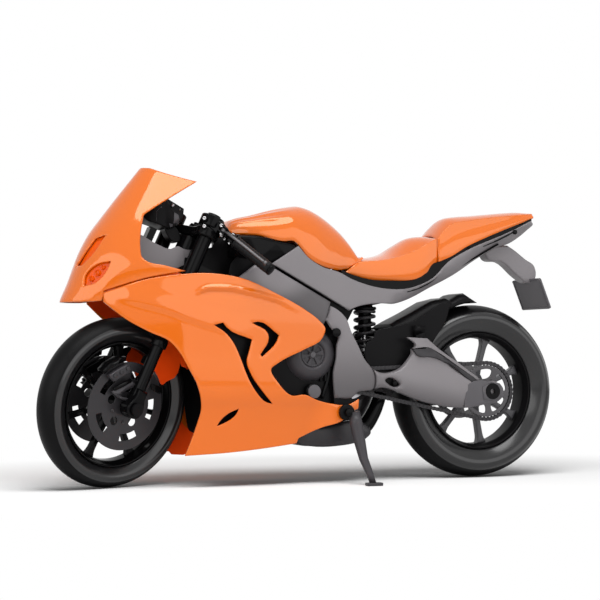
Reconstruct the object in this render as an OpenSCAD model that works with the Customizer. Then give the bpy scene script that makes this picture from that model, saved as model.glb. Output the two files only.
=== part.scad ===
// Radio-controlled road-racing motorcycle at one fifth of full size.
// X points forward, Y to the rider's left and Z up. The origin is the middle of the hollow rear axle.
// The steering is drawn turned to the left, as it stands on its side stand.

/* [Wheels] */
// Distance between the axles with the steering straight
wheelbase = 284; // [270:1:300]
// Outer radius of the front tyre
front_tyre_r = 60; // [56:0.5:63]
// Half the width of the front tyre
front_tyre_half = 12.5; // [10:0.25:13]
// Outer radius of the rear tyre
rear_tyre_r = 65.5; // [62:0.5:68]
// Radius of the rear tyre's round tread
rear_crown_r = 21.5; // [20:0.25:23]
// Radius at which tyre and rim meet
bead_r = 44.5; // [43:0.25:46]
// Half the width of the front rim
front_rim_half = 8.5; // [7:0.25:10]
// Half the width of the rear rim
rear_rim_half = 12; // [10:0.25:14]
// Depth of the rims, from bead to barrel
rim_depth = 4; // [3:0.25:6]
// Number of spokes in each wheel
spoke_count = 7; // [5:1:9]
// Width of a spoke at the rim
spoke_w = 4; // [3:0.25:6]
// Thickness of a spoke along the axle
spoke_t = 5; // [3:0.25:7]
// Radius of the wheel hubs
hub_r = 9; // [7:0.25:11]
// Radius of the front axle
front_axle_r = 2.5; // [2:0.1:3]
// Outer radius of the hollow rear axle
rear_axle_r = 3.5; // [3:0.1:4.5]
// Radius of the bore through the rear axle
axle_bore_r = 2; // [1:0.1:2.4]

/* [Brakes] */
// Radius of the front brake discs
front_disc_r = 31; // [26:0.5:33]
// Radius of the rear brake disc
rear_disc_r = 22; // [18:0.5:25]
// Thickness of the brake discs
disc_t = 1; // [0.8:0.1:1.4]
// Gap between a disc and its caliper on each side
pad_gap = 0.5; // [0.3:0.1:0.8]
// Number of vent holes in a disc
disc_holes = 10; // [6:1:14]

/* [Fork] */
// Angle of the steering axis from the vertical
caster = 24; // [22:0.5:27]
// Distance of the fork legs in front of the steering axis
fork_offset = 6; // [4:0.25:8]
// How far the steering is turned to the left as drawn
rest_steer = 22; // [0:1:25]
// Distance of each fork leg from the middle
leg_y = 22; // [21:0.25:24]
// Radius of the upper fork tubes
tube_r = 5.4; // [5:0.1:6]
// Radius of the sliding fork legs
slider_r = 4.3; // [3.8:0.1:4.6]
// Height of the upper tubes' lower ends above the axle, along the fork
tube_foot = 46; // [44:0.5:50]
// Height of the upper tubes' tops above the axle, along the fork
tube_top = 148; // [147:0.5:152]
// Height of the lower clamp above the axle, along the fork
lower_clamp_h = 80; // [76:0.5:84]
// Height of the upper clamp above the axle, along the fork
upper_clamp_h = 130; // [128:0.5:131]
// Thickness of the two clamps
clamp_t = 7; // [5:0.25:7.5]
// Radius of the steering stem
stem_r = 4; // [3:0.1:5]
// Outer radius of the head tube
head_r = 8.5; // [7:0.25:10]
// Radius of a handlebar tube
bar_r = 2.2; // [1.8:0.1:2.6]
// Radius of a grip
grip_r = 4.2; // [3.6:0.1:4.6]
// Length of a grip
grip_len = 32; // [26:0.5:36]
// Length of a handlebar from the fork tube
bar_len = 57; // [54:0.5:62]
// Angle of the handlebars back from straight across
bar_sweep = 35; // [25:1:40]
// Angle of the handlebars down from the clamp
bar_droop = 18; // [10:1:22]

/* [Rear suspension] */
// Distance of the swing arm pivot in front of the rear axle
pivot_x = 110; // [106:0.5:114]
// Height of the swing arm pivot above the rear axle
pivot_z = 9; // [7:0.5:11]
// Radius of the pivot pins
pivot_r = 3.5; // [3:0.1:4]
// Distance of an arm's inner face from the middle
arm_y = 25.4; // [24.8:0.1:26]
// Thickness of an arm's plate
arm_t = 4; // [3:0.1:4.2]
// How far an arm's box section stands out from its plate
arm_box = 2; // [1:0.1:3]
// Height of the shock's upper eye above the rear axle
shock_top_z = 70; // [68:0.5:72]
// Distance of the upright shock in front of the rear axle
shock_foot_x = 90; // [89:0.25:91]
// Height of the shock's lower eye above the rear axle
shock_foot_z = 24; // [23:0.5:26]
// Radius of the shock's eye pins
shock_pin_r = 2; // [1.6:0.1:2.4]
// Middle radius of the shock's spring
spring_r = 7.2; // [6.8:0.1:7.8]
// Thickness of the spring's wire
spring_wire = 2; // [1.6:0.1:2.2]
// Number of curls in the spring
spring_curls = 6; // [5:1:7]

/* [Drive] */
// Distance from one chain roller to the next
chain_pitch = 3.175; // [3:0.025:3.3]
// Teeth of the drive sprocket
drive_teeth = 15; // [14:1:16]
// Teeth of the rear sprocket
rear_teeth = 42; // [38:1:43]
// Distance of the chain's middle from the middle of the machine
chain_y = 22.8; // [22.4:0.1:23]
// Width of the chain over its plates
chain_w = 2.6; // [2:0.1:3]
// Height of the chain's plates
chain_h = 1.9; // [1.6:0.1:2.2]
// Thickness of the sprockets
sprocket_t = 1.2; // [1:0.1:1.4]
// Radius of the drive motor
motor_r = 14; // [12:0.25:15]
// Length of the drive motor
motor_len = 37; // [30:0.5:38]

/* [Bodywork] */
// Thickness of the painted covers
wall = 1.6; // [1.2:0.1:2]
// Half the greatest width of the fairing
fairing_half = 41.5; // [40.5:0.25:44]
// Half the greatest width of the nose
nose_half = 37.5; // [36.5:0.25:39]
// Half the greatest width of the tank cover
tank_half = 28; // [26:0.25:29]
// Half the greatest width of the seat
seat_half = 22; // [20:0.25:23]
// Half the greatest width of the tail cowl
tail_half = 20; // [18:0.25:21]
// Gap between two neighbouring covers
seam = 0.6; // [0.4:0.1:1]

/* [Frame] */
// Distance of the frame spars' outer faces from the middle
spar_y = 33.5; // [32.5:0.25:35]
// Thickness of the frame spars
spar_t = 5; // [4:0.25:6]
// Thickness of the pivot plates
plate_t = 3.2; // [2.6:0.1:4]
// Thickness of the seat side panels
panel_t = 2.5; // [2:0.1:3]
// Distance of the seat panels' outer faces from the middle, beside the tank
panel_y = 30; // [29:0.25:31]
// Angle at which the seat panels close towards the tail
panel_taper = 4.5; // [3.5:0.25:5]
// Half the width of the engine block
engine_half = 24; // [20:0.5:25]
// Length of the side stand's foot
stand_foot_len = 12; // [8:0.5:14]
// How far the side stand's foot stands out from its pivot
stand_out = 14; // [8:0.5:20]

/* [Fits] */
// Radial clearance of turning and sliding fits
run = 0.06; // [0.03:0.01:0.09]
// Side clearance between moving pieces
side = 0.4; // [0.3:0.05:0.6]
// Radial clearance of the shock's lower eye, where the linkage is open
eye_gap = 0.4; // [0.3:0.05:0.6]

/* [Hidden] */
$fn = 48;

// Smooth curve through knots of [position, value]
function slope(k, i) = (k[i + 1][1] - k[i][1]) / (k[i + 1][0] - k[i][0]);
function knot_slope(k, i) = i == 0 ? slope(k, 0) : i == len(k) - 1 ? slope(k, i - 1)
    : (k[i + 1][1] - k[i - 1][1]) / (k[i + 1][0] - k[i - 1][0]);
function knot_before(k, x, i = 0) = i >= len(k) - 2 || x <= k[i + 1][0] ? i : knot_before(k, x, i + 1);
function hermite(a, ma, b, mb, t) = (2 * t^3 - 3 * t^2 + 1) * a + (t^3 - 2 * t^2 + t) * ma
    + (3 * t^2 - 2 * t^3) * b + (t^3 - t^2) * mb;
function curve(k, x) =
    let (i = knot_before(k, x), step = k[i + 1][0] - k[i][0],
        t = max(0, min(1, (x - k[i][0]) / step)))
    hermite(k[i][1], knot_slope(k, i) * step, k[i + 1][1], knot_slope(k, i + 1) * step, t);

// Closed shell between an outer and an inner grid of points
module shell(outer, inner) {
    rows = len(outer);
    cols = len(outer[0]);
    count = rows * cols;
    grid_faces = [for (i = [0 : rows - 2], j = [0 : cols - 2])
        let (a = i * cols + j, b = a + 1, c = a + cols + 1, d = a + cols)
        each [[a, b, c], [a, c, d], [count + a, count + c, count + b], [count + a, count + d, count + c]]];
    row_faces = [for (j = [0 : cols - 2])
        let (a = j, b = (rows - 1) * cols + j)
        each [[a, count + a + 1, a + 1], [a, count + a, count + a + 1],
            [b, b + 1, count + b + 1], [b, count + b + 1, count + b]]];
    col_faces = [for (i = [0 : rows - 2])
        let (a = i * cols, b = a + cols, c = a + cols - 1, d = c + cols)
        each [[a, b, count + b], [a, count + b, count + a],
            [c, count + d, d], [c, count + c, count + d]]];
    polyhedron(concat([for (row = outer) each row], [for (row = inner) each row]),
        concat(grid_faces, row_faces, col_faces));
}

// Upright outline in X and Z, from one distance beside the middle to another
module upright(from_y, to_y) {
    translate([0, to_y, 0]) rotate([90, 0, 0]) linear_extrude(to_y - from_y) children();
}

// Round bar along Y
module cross_bar(r, from_y, to_y) {
    translate([0, from_y, 0]) rotate([-90, 0, 0]) cylinder(r = r, h = to_y - from_y);
}

function arc(r, from, to, steps, cx = 0, cy = 0) =
    [for (i = [0 : steps]) let (a = from + (to - from) * i / steps) [cx + r * cos(a), cy + r * sin(a)]];

// Steering frame: X across the fork to the front, Y to the left, Z up the steering axis from the axle
front_tilt = sin(caster) * sin(rest_steer);
front_ring_r = front_tyre_r - front_tyre_half;
front_axle_z = front_ring_r * sqrt(1 - front_tilt^2) + front_tyre_half
    + fork_offset * (1 - cos(rest_steer)) * sin(caster) - rear_tyre_r;
steer_base = [wheelbase - fork_offset * cos(caster), 0, front_axle_z - fork_offset * sin(caster)];
module head_frame() { translate(steer_base) rotate([0, -caster, 0]) children(); }
module steer_frame() { head_frame() rotate([0, 0, rest_steer]) children(); }
module fork_axle() { steer_frame() translate([fork_offset, 0, 0]) children(); }
module each_side() {
    children();
    mirror([0, 1, 0]) children();
}
module each_leg() { for (s = [-1, 1]) steer_frame() translate([fork_offset, s * leg_y, 0]) children(); }

// Wheels

module tyre(profile) { rotate([90, 0, 0]) rotate_extrude() polygon(profile); }

front_side_angle = 100;
front_tyre_profile = concat([[bead_r, -front_rim_half]],
    arc(front_tyre_half, -front_side_angle, front_side_angle, 24, front_ring_r), [[bead_r, front_rim_half]]);
rear_side_angle = 57;
rear_crown_c = rear_tyre_r - rear_crown_r;
rear_bulge = [50, 17.6];
rear_tyre_profile = concat([[bead_r, -rear_rim_half], [rear_bulge[0], -rear_bulge[1]]],
    arc(rear_crown_r, -rear_side_angle, rear_side_angle, 24, rear_crown_c),
    [[rear_bulge[0], rear_bulge[1]], [bead_r, rear_rim_half]]);

module front_tyre() { color("black") fork_axle() tyre(front_tyre_profile); }
module rear_tyre() { color("black") tyre(rear_tyre_profile); }

flange = 1.4;
spoke_sink = 0.8;
spoke_root_w = 1.6 * (hub_r - spoke_sink) * sin(180 / spoke_count);
module wheel(rim_half, hub_from, hub_to, axle_r) {
    spoke_from = hub_r - spoke_sink;
    spoke_to = bead_r - rim_depth / 2;
    rotate([-90, 0, 0]) difference() {
        union() {
            rotate_extrude() polygon([[bead_r - flange, -rim_half], [bead_r, -rim_half], [bead_r, rim_half],
                [bead_r - flange, rim_half], [bead_r - rim_depth, rim_half - rim_depth],
                [bead_r - rim_depth, rim_depth - rim_half]]);
            for (i = [1 : spoke_count]) rotate(360 * i / spoke_count) translate([0, 0, -spoke_t / 2])
                linear_extrude(spoke_t) polygon([[spoke_from, -spoke_root_w / 2], [spoke_to, -spoke_w / 2],
                    [spoke_to, spoke_w / 2], [spoke_from, spoke_root_w / 2]]);
            translate([0, 0, hub_from]) cylinder(r = hub_r, h = hub_to - hub_from);
        }
        translate([0, 0, hub_from - 1]) cylinder(r = axle_r + run, h = hub_to - hub_from + 2);
    }
}

front_hub_half = 14;
rear_hub_left = chain_y - sprocket_t / 2;
rear_hub_right = 20;
module front_wheel() {
    color("dimgray") fork_axle() wheel(front_rim_half, -front_hub_half, front_hub_half, front_axle_r);
}
module rear_wheel() { color("dimgray") wheel(rear_rim_half, -rear_hub_right, rear_hub_left, rear_axle_r); }

disc_ring = 11;
disc_hole_r = 2.6;
module brake_disc(r, axle_r) {
    rotate([-90, 0, 0]) difference() {
        cylinder(r = r, h = disc_t);
        translate([0, 0, -1]) cylinder(r = axle_r + 2, h = disc_t + 2);
        for (i = [1 : disc_holes]) rotate(360 * i / disc_holes)
            translate([r - disc_ring / 2, 0, -1]) cylinder(r = disc_hole_r, h = disc_t + 2);
    }
}
module front_discs() {
    color("silver") fork_axle() {
        translate([0, front_hub_half, 0]) brake_disc(front_disc_r, front_axle_r);
        translate([0, -front_hub_half - disc_t, 0]) brake_disc(front_disc_r, front_axle_r);
    }
}

tooth_inset = 0.35;
function sprocket_r(teeth) = chain_pitch * teeth / (2 * PI);
function tooth_tip(teeth) = sprocket_r(teeth) - chain_h / 2 - tooth_inset;
tooth_depth = 1.2;
module sprocket(teeth, hole_r) {
    tip = tooth_tip(teeth);
    rotate([-90, 0, 0]) difference() {
        linear_extrude(sprocket_t) polygon([for (i = [0 : teeth - 1]) let (a = 360 / teeth)
            each [for (q = [-0.42, -0.15, 0.15, 0.42])
                (abs(q) > 0.3 ? tip - tooth_depth : tip) * [cos((i + q) * a), sin((i + q) * a)]]]);
        translate([0, 0, -1]) cylinder(r = hole_r, h = sprocket_t + 2);
    }
}
sprocket_windows = 5;
window_r = 4;
module rear_hub_rings() {
    color("gainsboro") {
        difference() {
            translate([0, rear_hub_left, 0]) sprocket(rear_teeth, rear_axle_r + 2);
            for (i = [1 : sprocket_windows]) rotate([0, 360 * i / sprocket_windows, 0])
                translate([hub_r + window_r, rear_hub_left - 1, 0]) cross_bar(window_r, 0, sprocket_t + 2);
        }
        translate([0, -rear_hub_right - disc_t, 0]) brake_disc(rear_disc_r, rear_axle_r);
    }
}

// Fork and steering

foot_r = 6.5;
axle_end = leg_y + foot_r;
axle_head_r = 4.5;
axle_head_t = 1.6;
module front_axle() {
    color("silver") fork_axle() {
        cross_bar(front_axle_r, -axle_end, axle_end);
        each_side() cross_bar(axle_head_r, axle_end, axle_end + axle_head_t);
    }
}

slider_top = tube_foot + 48;
caliper_w = 17.5;
caliper_x = slider_r + 0.7;
caliper_z = 9;
caliper_h = 17;
caliper_out = front_hub_half + disc_t + pad_gap + 3.5;
caliper_in = front_hub_half - pad_gap - 2.5;
lug_w = 8;
fender_seat_z = 33;
fender_seat_h = 3;
fork_travel = 9;
module fork_sliders() {
    color("dimgray") for (s = [-1, 1]) steer_frame() translate([fork_offset, s * leg_y, 0]) difference() {
        union() {
            cylinder(r = slider_r, h = slider_top);
            cross_bar(foot_r, -foot_r, foot_r);
            translate([0, s > 0 ? caliper_out - leg_y : -slider_r + 1, caliper_z + 2])
                cube([lug_w, leg_y - caliper_out + slider_r - 1, caliper_h - 4]);
            translate([-fender_seat_h / 2, s > 0 ? flap_out - leg_y : 0, fender_seat_z])
                cube([fender_seat_h, leg_y - flap_out, fender_seat_h]);
        }
        cross_bar(front_axle_r, -foot_r - 1, foot_r + 1);
    }
}

module fork_tubes() {
    color("gold") each_leg() difference() {
        translate([0, 0, tube_foot]) cylinder(r = tube_r, h = tube_top - tube_foot);
        translate([0, 0, tube_foot - 1]) cylinder(r = slider_r + run,
            h = slider_top + fork_travel + 4 - tube_foot);
    }
}

module front_calipers() {
    color("black") fork_axle() each_side() difference() {
        translate([caliper_x, caliper_in, caliper_z]) cube([caliper_w, caliper_out - caliper_in, caliper_h]);
        rotate([-90, 0, 0]) translate([0, 0, front_hub_half - pad_gap])
            cylinder(r = front_disc_r + 1, h = disc_t + 2 * pad_gap);
    }
}

fender_gap = 2.2;
fender_t = 1.2;
fender_half = front_tyre_half + 1.6;
fender_out = fender_half + fender_t;
// The flaps that carry the fender stand a little proud of its skirts
flap_out = fender_out + 0.2;
fender_from = 100;
fender_to = 140;
fender_skirt = 9;
module front_fender() {
    inner_r = front_tyre_r + fender_gap;
    color("orangered") fork_axle() {
        rotate([90, 0, 0]) rotate([0, 0, fender_from]) rotate_extrude(angle = fender_to - fender_from)
            polygon([[inner_r - fender_skirt, -fender_out], [inner_r, -fender_out],
                [inner_r + fender_t, -fender_half], [inner_r + fender_t, fender_half],
                [inner_r, fender_out], [inner_r - fender_skirt, fender_out],
                [inner_r - fender_skirt, fender_half], [inner_r - fender_t, fender_half],
                [inner_r, fender_half - fender_t], [inner_r, fender_t - fender_half],
                [inner_r - fender_t, -fender_half], [inner_r - fender_skirt, -fender_half]]);
        each_side() upright(fender_half + 0.2, flap_out) polygon([[fender_seat_h, fender_seat_z - 1],
            [fender_seat_h, fender_seat_z + fender_seat_h + 1], [-8, 46],
            [-16, inner_r - fender_skirt / 2], [-24, inner_r - fender_skirt / 2],
            [-29.5, fender_seat_z], [-25, 29], [-22, 25], [-16, 28.5], [-8, fender_seat_z - 1]]);
    }
}

clamp_r = tube_r + 2.8;
module clamp_outline() {
    hull() {
        translate([0, 0]) circle(r = head_r);
        for (s = [-1, 1]) translate([fork_offset, s * leg_y]) circle(r = clamp_r);
    }
}
module clamp(h) {
    steer_frame() translate([0, 0, h]) difference() {
        linear_extrude(clamp_t) clamp_outline();
        for (s = [-1, 1]) translate([fork_offset, s * leg_y, -1]) cylinder(r = tube_r, h = clamp_t + 2);
    }
}
module stem(r, from, to) { steer_frame() translate([0, 0, from]) cylinder(r = r, h = to - from); }
module lower_clamp() {
    color("gray") {
        clamp(lower_clamp_h);
        stem(stem_r, lower_clamp_h + clamp_t / 2, upper_clamp_h + clamp_t);
    }
}

head_from = lower_clamp_h + clamp_t + side;
head_to = upper_clamp_h - side;
gusset_from = -20;
gusset_half = 12;
gusset_h = 26;
module steering_head() {
    color("gray") head_frame() difference() {
        union() {
            translate([0, 0, head_from]) cylinder(r = head_r, h = head_to - head_from);
            translate([gusset_from, -gusset_half, head_from])
                cube([-gusset_from - 3, 2 * gusset_half, gusset_h]);
        }
        translate([0, 0, head_from - 1]) cylinder(r = stem_r + run, h = head_to - head_from + 2);
    }
}

bar_z = upper_clamp_h + clamp_t + 5;
ring_half = 4;
module bar_frame(s) {
    steer_frame() translate([fork_offset, s * leg_y, bar_z]) rotate([0, 0, s * bar_sweep])
        rotate([-s * (90 + bar_droop), 0, 0]) children();
}
perch_at = 11;
perch_w = 6;
perch_half = 2.5;
lever_x = 11.5;
lever_pin_x = 8.5;
lever_pin_r = 1;
lever_eye_r = 2.2;
lever_half = 1.2;
lever_len = 40;
lever_at = perch_at + perch_w / 2;
bar_cap = 2;
module handlebar(s) {
    color("black") {
        difference() {
            union() {
                steer_frame() translate([fork_offset, s * leg_y, bar_z - ring_half])
                    cylinder(r = clamp_r, h = 2 * ring_half);
                bar_frame(s) {
                    cylinder(r = bar_r, h = bar_len);
                    translate([-bar_r - 1, -perch_half, perch_at])
                        cube([lever_pin_x + bar_r + 3, 2 * perch_half, perch_w]);
                    translate([0, 0, bar_len - bar_cap]) cylinder(r = grip_r, h = bar_cap);
                }
            }
            steer_frame() translate([fork_offset, s * leg_y, bar_z - ring_half - 1])
                cylinder(r = tube_r, h = 2 * ring_half + 2);
            bar_frame(s) translate([lever_pin_x - lever_eye_r - side, -lever_half - side, perch_at - 1])
                cube([2 * lever_eye_r + 4, 2 * (lever_half + side), perch_w + 2]);
        }
        bar_frame(s) translate([lever_pin_x, 0, lever_at]) cross_bar(lever_pin_r, -perch_half, perch_half);
    }
}
module handlebar_left() { handlebar(1); }
module handlebar_right() { handlebar(-1); }

module grip(s) {
    color("dimgray") bar_frame(s) translate([0, 0, bar_len - bar_cap - grip_len]) difference() {
        cylinder(r = grip_r, h = grip_len);
        translate([0, 0, -1]) cylinder(r = bar_r, h = grip_len + 2);
    }
}
module grip_left() { grip(1); }
module grip_right() { grip(-1); }

module lever(s) {
    color("black") bar_frame(s) difference() {
        union() {
            translate([lever_pin_x, 0, lever_at]) cross_bar(lever_eye_r, -lever_half, lever_half);
            upright(-lever_half, lever_half) polygon([
                [lever_pin_x - 1, lever_at], [lever_pin_x + 2, lever_at],
                [lever_x + 1.6, lever_at + 9], [lever_x + 1.2, lever_at + lever_len],
                [lever_x - 1, lever_at + lever_len], [lever_x - 1, lever_at + 10]]);
        }
        translate([lever_pin_x, 0, lever_at]) cross_bar(lever_pin_r + run, -lever_half - 1, lever_half + 1);
    }
}
module clutch_lever() { lever(1); }
module brake_lever() { lever(-1); }

// Steering servo and its link: a parallelogram behind the head tube
link_arm = 13;
link_len = 38;
link_t = 1.6;
link_pin_r = 1.2;
link_eye_r = 2.6;
link_z = upper_clamp_h - side - link_t;
horn_z = link_z - side - link_t;
spline_r = 2.4;
servo_len = 24;
servo_half = 6;
servo_h = 22;
module upper_clamp() {
    color("gray") {
        difference() {
            clamp(upper_clamp_h);
            stem(stem_r, upper_clamp_h - 1, upper_clamp_h + clamp_t + 1);
        }
        steer_frame() translate([0, -link_arm, link_z]) cylinder(r = link_pin_r, h = link_t + side);
    }
}
module steering_servo() {
    color("black") head_frame() {
        translate([gusset_from - servo_len, -servo_half, horn_z - side - servo_h])
            cube([servo_len, 2 * servo_half, servo_h]);
        translate([-link_len, 0, horn_z - side]) cylinder(r = spline_r, h = side + link_t);
    }
}
module servo_horn() {
    color("white") head_frame() translate([-link_len, 0, horn_z]) rotate([0, 0, rest_steer]) {
        difference() {
            union() {
                cylinder(r = spline_r + 1.8, h = link_t);
                translate([-link_eye_r, -link_arm, 0]) cube([2 * link_eye_r, link_arm, link_t]);
                translate([0, -link_arm, 0]) cylinder(r = link_eye_r, h = link_t);
            }
            translate([0, 0, -1]) cylinder(r = spline_r + run, h = link_t + 2);
        }
        translate([0, -link_arm, link_t]) cylinder(r = link_pin_r, h = link_t + side);
    }
}
module steering_link() {
    color("silver") head_frame()
        translate([link_arm * sin(rest_steer), -link_arm * cos(rest_steer), link_z]) difference() {
        union() {
            translate([-link_len, -1.4, 0]) cube([link_len, 2.8, link_t]);
            for (x = [0, -link_len]) translate([x, 0, 0]) cylinder(r = link_eye_r, h = link_t);
        }
        for (x = [0, -link_len]) translate([x, 0, -1]) cylinder(r = link_pin_r + run, h = link_t + 2);
    }
}

// Swing arm, chain and rear axle

arm_outline = [[pivot_x - 13, pivot_z + 7], [pivot_x - 19, pivot_z + 5], [75, 17.5], [66, 26],
    [67, 40], [49, 35.5], [7, 7], [-9, 4], [-10, -3], [-6, -11.5], [24, -12.5], [32, -12], [60, -5],
    [pivot_x - 19, pivot_z - 6], [pivot_x - 10, pivot_z - 7.5], [pivot_x - 2, pivot_z - 7.5]];
box_outline = [[61, 27], [48, 31], [7, 5], [-8, 3], [-9, -3], [-5, -10.5], [24, -11.5], [59, -4]];
arm_front_r = 8;
module pivot_at() { translate([pivot_x, 0, pivot_z]) children(); }
module arm() {
    difference() {
        union() {
            upright(arm_y, arm_y + arm_t) polygon(arm_outline);
            pivot_at() cross_bar(arm_front_r, arm_y, arm_y + arm_t);
            upright(arm_y + arm_t, arm_y + arm_t + arm_box) polygon(box_outline);
        }
        pivot_at() cross_bar(pivot_r + run, arm_y - 1, arm_y + arm_t + 1);
        cross_bar(rear_axle_r, arm_y - 1, arm_y + arm_t + arm_box + 1);
    }
}
rear_caliper_y = rear_hub_right + disc_t / 2;
module rear_caliper() {
    difference() {
        upright(-arm_y, -rear_caliper_y + disc_t + 2 * pad_gap + 2)
            polygon([[13, -3], [30, -5], [30, 7], [15, 8]]);
        translate([0, -rear_caliper_y, 0])
            cross_bar(rear_disc_r + 1, -disc_t / 2 - pad_gap, disc_t / 2 + pad_gap);
    }
}
module swingarm_left() { color("darkgray") arm(); }
module swingarm_right() {
    color("darkgray") mirror([0, 1, 0]) arm();
    color("black") rear_caliper();
}

boss_wall = 3;
bridge_from = 80;
bridge_to = pivot_x - motor_r - boss_wall - 2;
bridge_low = pivot_z - 6;
bridge_high = pivot_z + 6;
eye_half = 3.5;
fork_lug_t = 2.5;
shock_eye_r = 4.5;
module shock_lugs() {
    each_side() upright(eye_half + side, eye_half + side + fork_lug_t) children();
}
module swingarm_bridge() {
    lug_end = eye_half + side + fork_lug_t;
    color("darkgray") {
        upright(-arm_y, arm_y) polygon([[bridge_from, bridge_low], [bridge_to, bridge_low],
            [bridge_to, bridge_high], [bridge_from, bridge_high]]);
        shock_lugs() polygon([[bridge_from + 1, bridge_high], [bridge_to, bridge_high],
            [shock_foot_x + 4, shock_foot_z], [shock_foot_x + 2, shock_foot_z + 3.5],
            [shock_foot_x - 2, shock_foot_z + 3.5], [shock_foot_x - 4, shock_foot_z]]);
        translate([shock_foot_x, 0, shock_foot_z]) cross_bar(shock_pin_r, -lug_end, lug_end);
    }
}

collar_r = 5;
nut_r = 6;
nut_t = 2.5;
arm_out = arm_y + arm_t + arm_box;
module rear_axle() {
    color("silver") difference() {
        union() {
            cross_bar(rear_axle_r, -arm_out, arm_out);
            cross_bar(collar_r, rear_hub_left + sprocket_t + side, arm_y);
            cross_bar(collar_r, -arm_y, -rear_hub_right - disc_t - side);
            each_side() cross_bar(nut_r, arm_out, arm_out + nut_t);
        }
        cross_bar(axle_bore_r, -arm_out - nut_t - 1, arm_out + nut_t + 1);
    }
}

module chain_loop(grow) {
    hull() {
        circle(r = sprocket_r(rear_teeth) + grow);
        translate([pivot_x, pivot_z]) circle(r = sprocket_r(drive_teeth) + grow);
    }
}
module drive_chain() {
    color("dimgray") upright(chain_y - chain_w / 2, chain_y + chain_w / 2) difference() {
        chain_loop(chain_h / 2);
        chain_loop(-chain_h / 2);
    }
}

shaft_r = 2.5;
shaft_from = 8;
module drive_sprocket() {
    color("silver") pivot_at() {
        cross_bar(shaft_r, shaft_from, chain_y + sprocket_t);
        translate([0, chain_y - sprocket_t / 2, 0]) sprocket(drive_teeth, shaft_r);
    }
}
module drive_motor() {
    color("silver") pivot_at() difference() {
        cross_bar(motor_r, -motor_len / 2, motor_len / 2);
        cross_bar(shaft_r + run, shaft_from - side, motor_len / 2 + 1);
    }
}

hugger_gap = 3.2;
hugger_scale = rear_tyre_r / 65.5;
hugger_top = [[68, 45], [70, 51], [29, 71], [14, 74.5], [4, 71.5]];
hugger_half = 17;
hugger_seat_x = 54;
hugger_seat_z = 45 * hugger_scale;
module hugger() {
    color("black") {
        upright(-hugger_half, hugger_half) polygon(concat(hugger_scale * hugger_top,
            arc(rear_tyre_r + hugger_gap, 88, 36, 14)));
        each_side() {
            upright(hugger_half - 2, arm_y) polygon([[hugger_seat_x - 2, hugger_seat_z - 0.5],
                [hugger_seat_x + 6, hugger_seat_z - 4], [hugger_seat_x + 6, hugger_seat_z + 4],
                [hugger_seat_x - 2, hugger_seat_z + 4]]);
            upright(arm_y - 5, arm_y) polygon([[hugger_seat_x - 3, 31], [hugger_seat_x + 3, 31],
                [hugger_seat_x + 6, hugger_seat_z], [hugger_seat_x - 2, hugger_seat_z + 1]]);
        }
    }
}

// Shock absorber

shock_len = shock_top_z - shock_foot_z;
collar_out = spring_r + spring_wire / 2 + 0.6;
low_collar = 6;
top_collar = shock_len - 9;
collar_t = 2;
damper_r = 5;
damper_from = 20;
rod_r = 2.5;
rod_top = 34;
module shock_at() { translate([shock_foot_x, 0, shock_foot_z]) children(); }
module shock_body() {
    color("black") shock_at() difference() {
        union() {
            translate([0, 0, shock_len]) cross_bar(shock_eye_r, -eye_half, eye_half);
            translate([0, 0, damper_from])
                cylinder(r = damper_r, h = shock_len - damper_from - shock_eye_r + 1.5);
            translate([0, 0, top_collar]) cylinder(r = collar_out, h = collar_t);
        }
        translate([0, 0, shock_len]) cross_bar(shock_pin_r + run, -eye_half - 1, eye_half + 1);
        translate([0, 0, damper_from - 1]) cylinder(r = rod_r + run, h = rod_top + 5 - damper_from);
    }
}
module shock_rod() {
    color("silver") shock_at() difference() {
        union() {
            cross_bar(shock_eye_r, -eye_half, eye_half);
            cylinder(r = rod_r, h = rod_top);
            translate([0, 0, low_collar]) cylinder(r = collar_out, h = collar_t);
        }
        cross_bar(shock_pin_r + eye_gap, -eye_half - 1, eye_half + 1);
    }
}

// The spring is one round wire: upright ends, and curls that rise evenly between them
spring_from = low_collar + collar_t;
spring_to = top_collar;
curl_steps = 8;
wire_sides = 6;
spring_steps = spring_curls * curl_steps;
curl_rise = (spring_to - spring_from - 2 * spring_wire) / spring_curls;
function spring_point(i) =
    i < 0 ? [spring_r, 0, spring_from] : i > spring_steps ? [spring_r, 0, spring_to]
    : [spring_r * cos(360 * i / curl_steps), spring_r * sin(360 * i / curl_steps),
        spring_from + spring_wire + curl_rise * i / curl_steps];
spring_path = [for (i = [-1 : spring_steps + 1]) spring_point(i)];
function unit(v) = v / norm(v);
function spring_ring(i) =
    let (last = len(spring_path) - 1, p = spring_path[i],
        along = i == 0 || i == last ? [0, 0, 1] : unit(spring_path[i + 1] - spring_path[i - 1]),
        out = unit(cross(cross(along, [p[0], p[1], 0]), along)), up = cross(along, out))
    [for (k = [0 : wire_sides - 1]) let (a = 360 * k / wire_sides)
        p + spring_wire / 2 * (cos(a) * out + sin(a) * up)];
spring_gap = min([for (i = [1 : spring_steps - curl_steps + 1])
    norm(spring_path[i + curl_steps] - spring_path[i])]) - spring_wire;
echo(spring_least_gap = spring_gap);
module shock_spring() {
    rings = len(spring_path);
    color("black") shock_at() polyhedron([for (i = [0 : rings - 1]) each spring_ring(i)], concat(
        [for (i = [0 : rings - 2], k = [0 : wire_sides - 1])
            let (a = i * wire_sides + k, b = i * wire_sides + (k + 1) % wire_sides)
            each [[a, a + wire_sides, b + wire_sides], [a, b + wire_sides, b]]],
        [[for (k = [0 : wire_sides - 1]) k]],
        [[for (k = [wire_sides - 1 : -1 : 0]) (rings - 1) * wire_sides + k]]));
}

// Chassis: outlines in front of the pivot stretch with the wheelbase
drawn_base = 284;
function fx(x) = x + (wheelbase - drawn_base) * max(0, x - pivot_x) / (drawn_base - pivot_x);
function front(points) = [for (p = points) [fx(p[0]), p[1]]];

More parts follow.
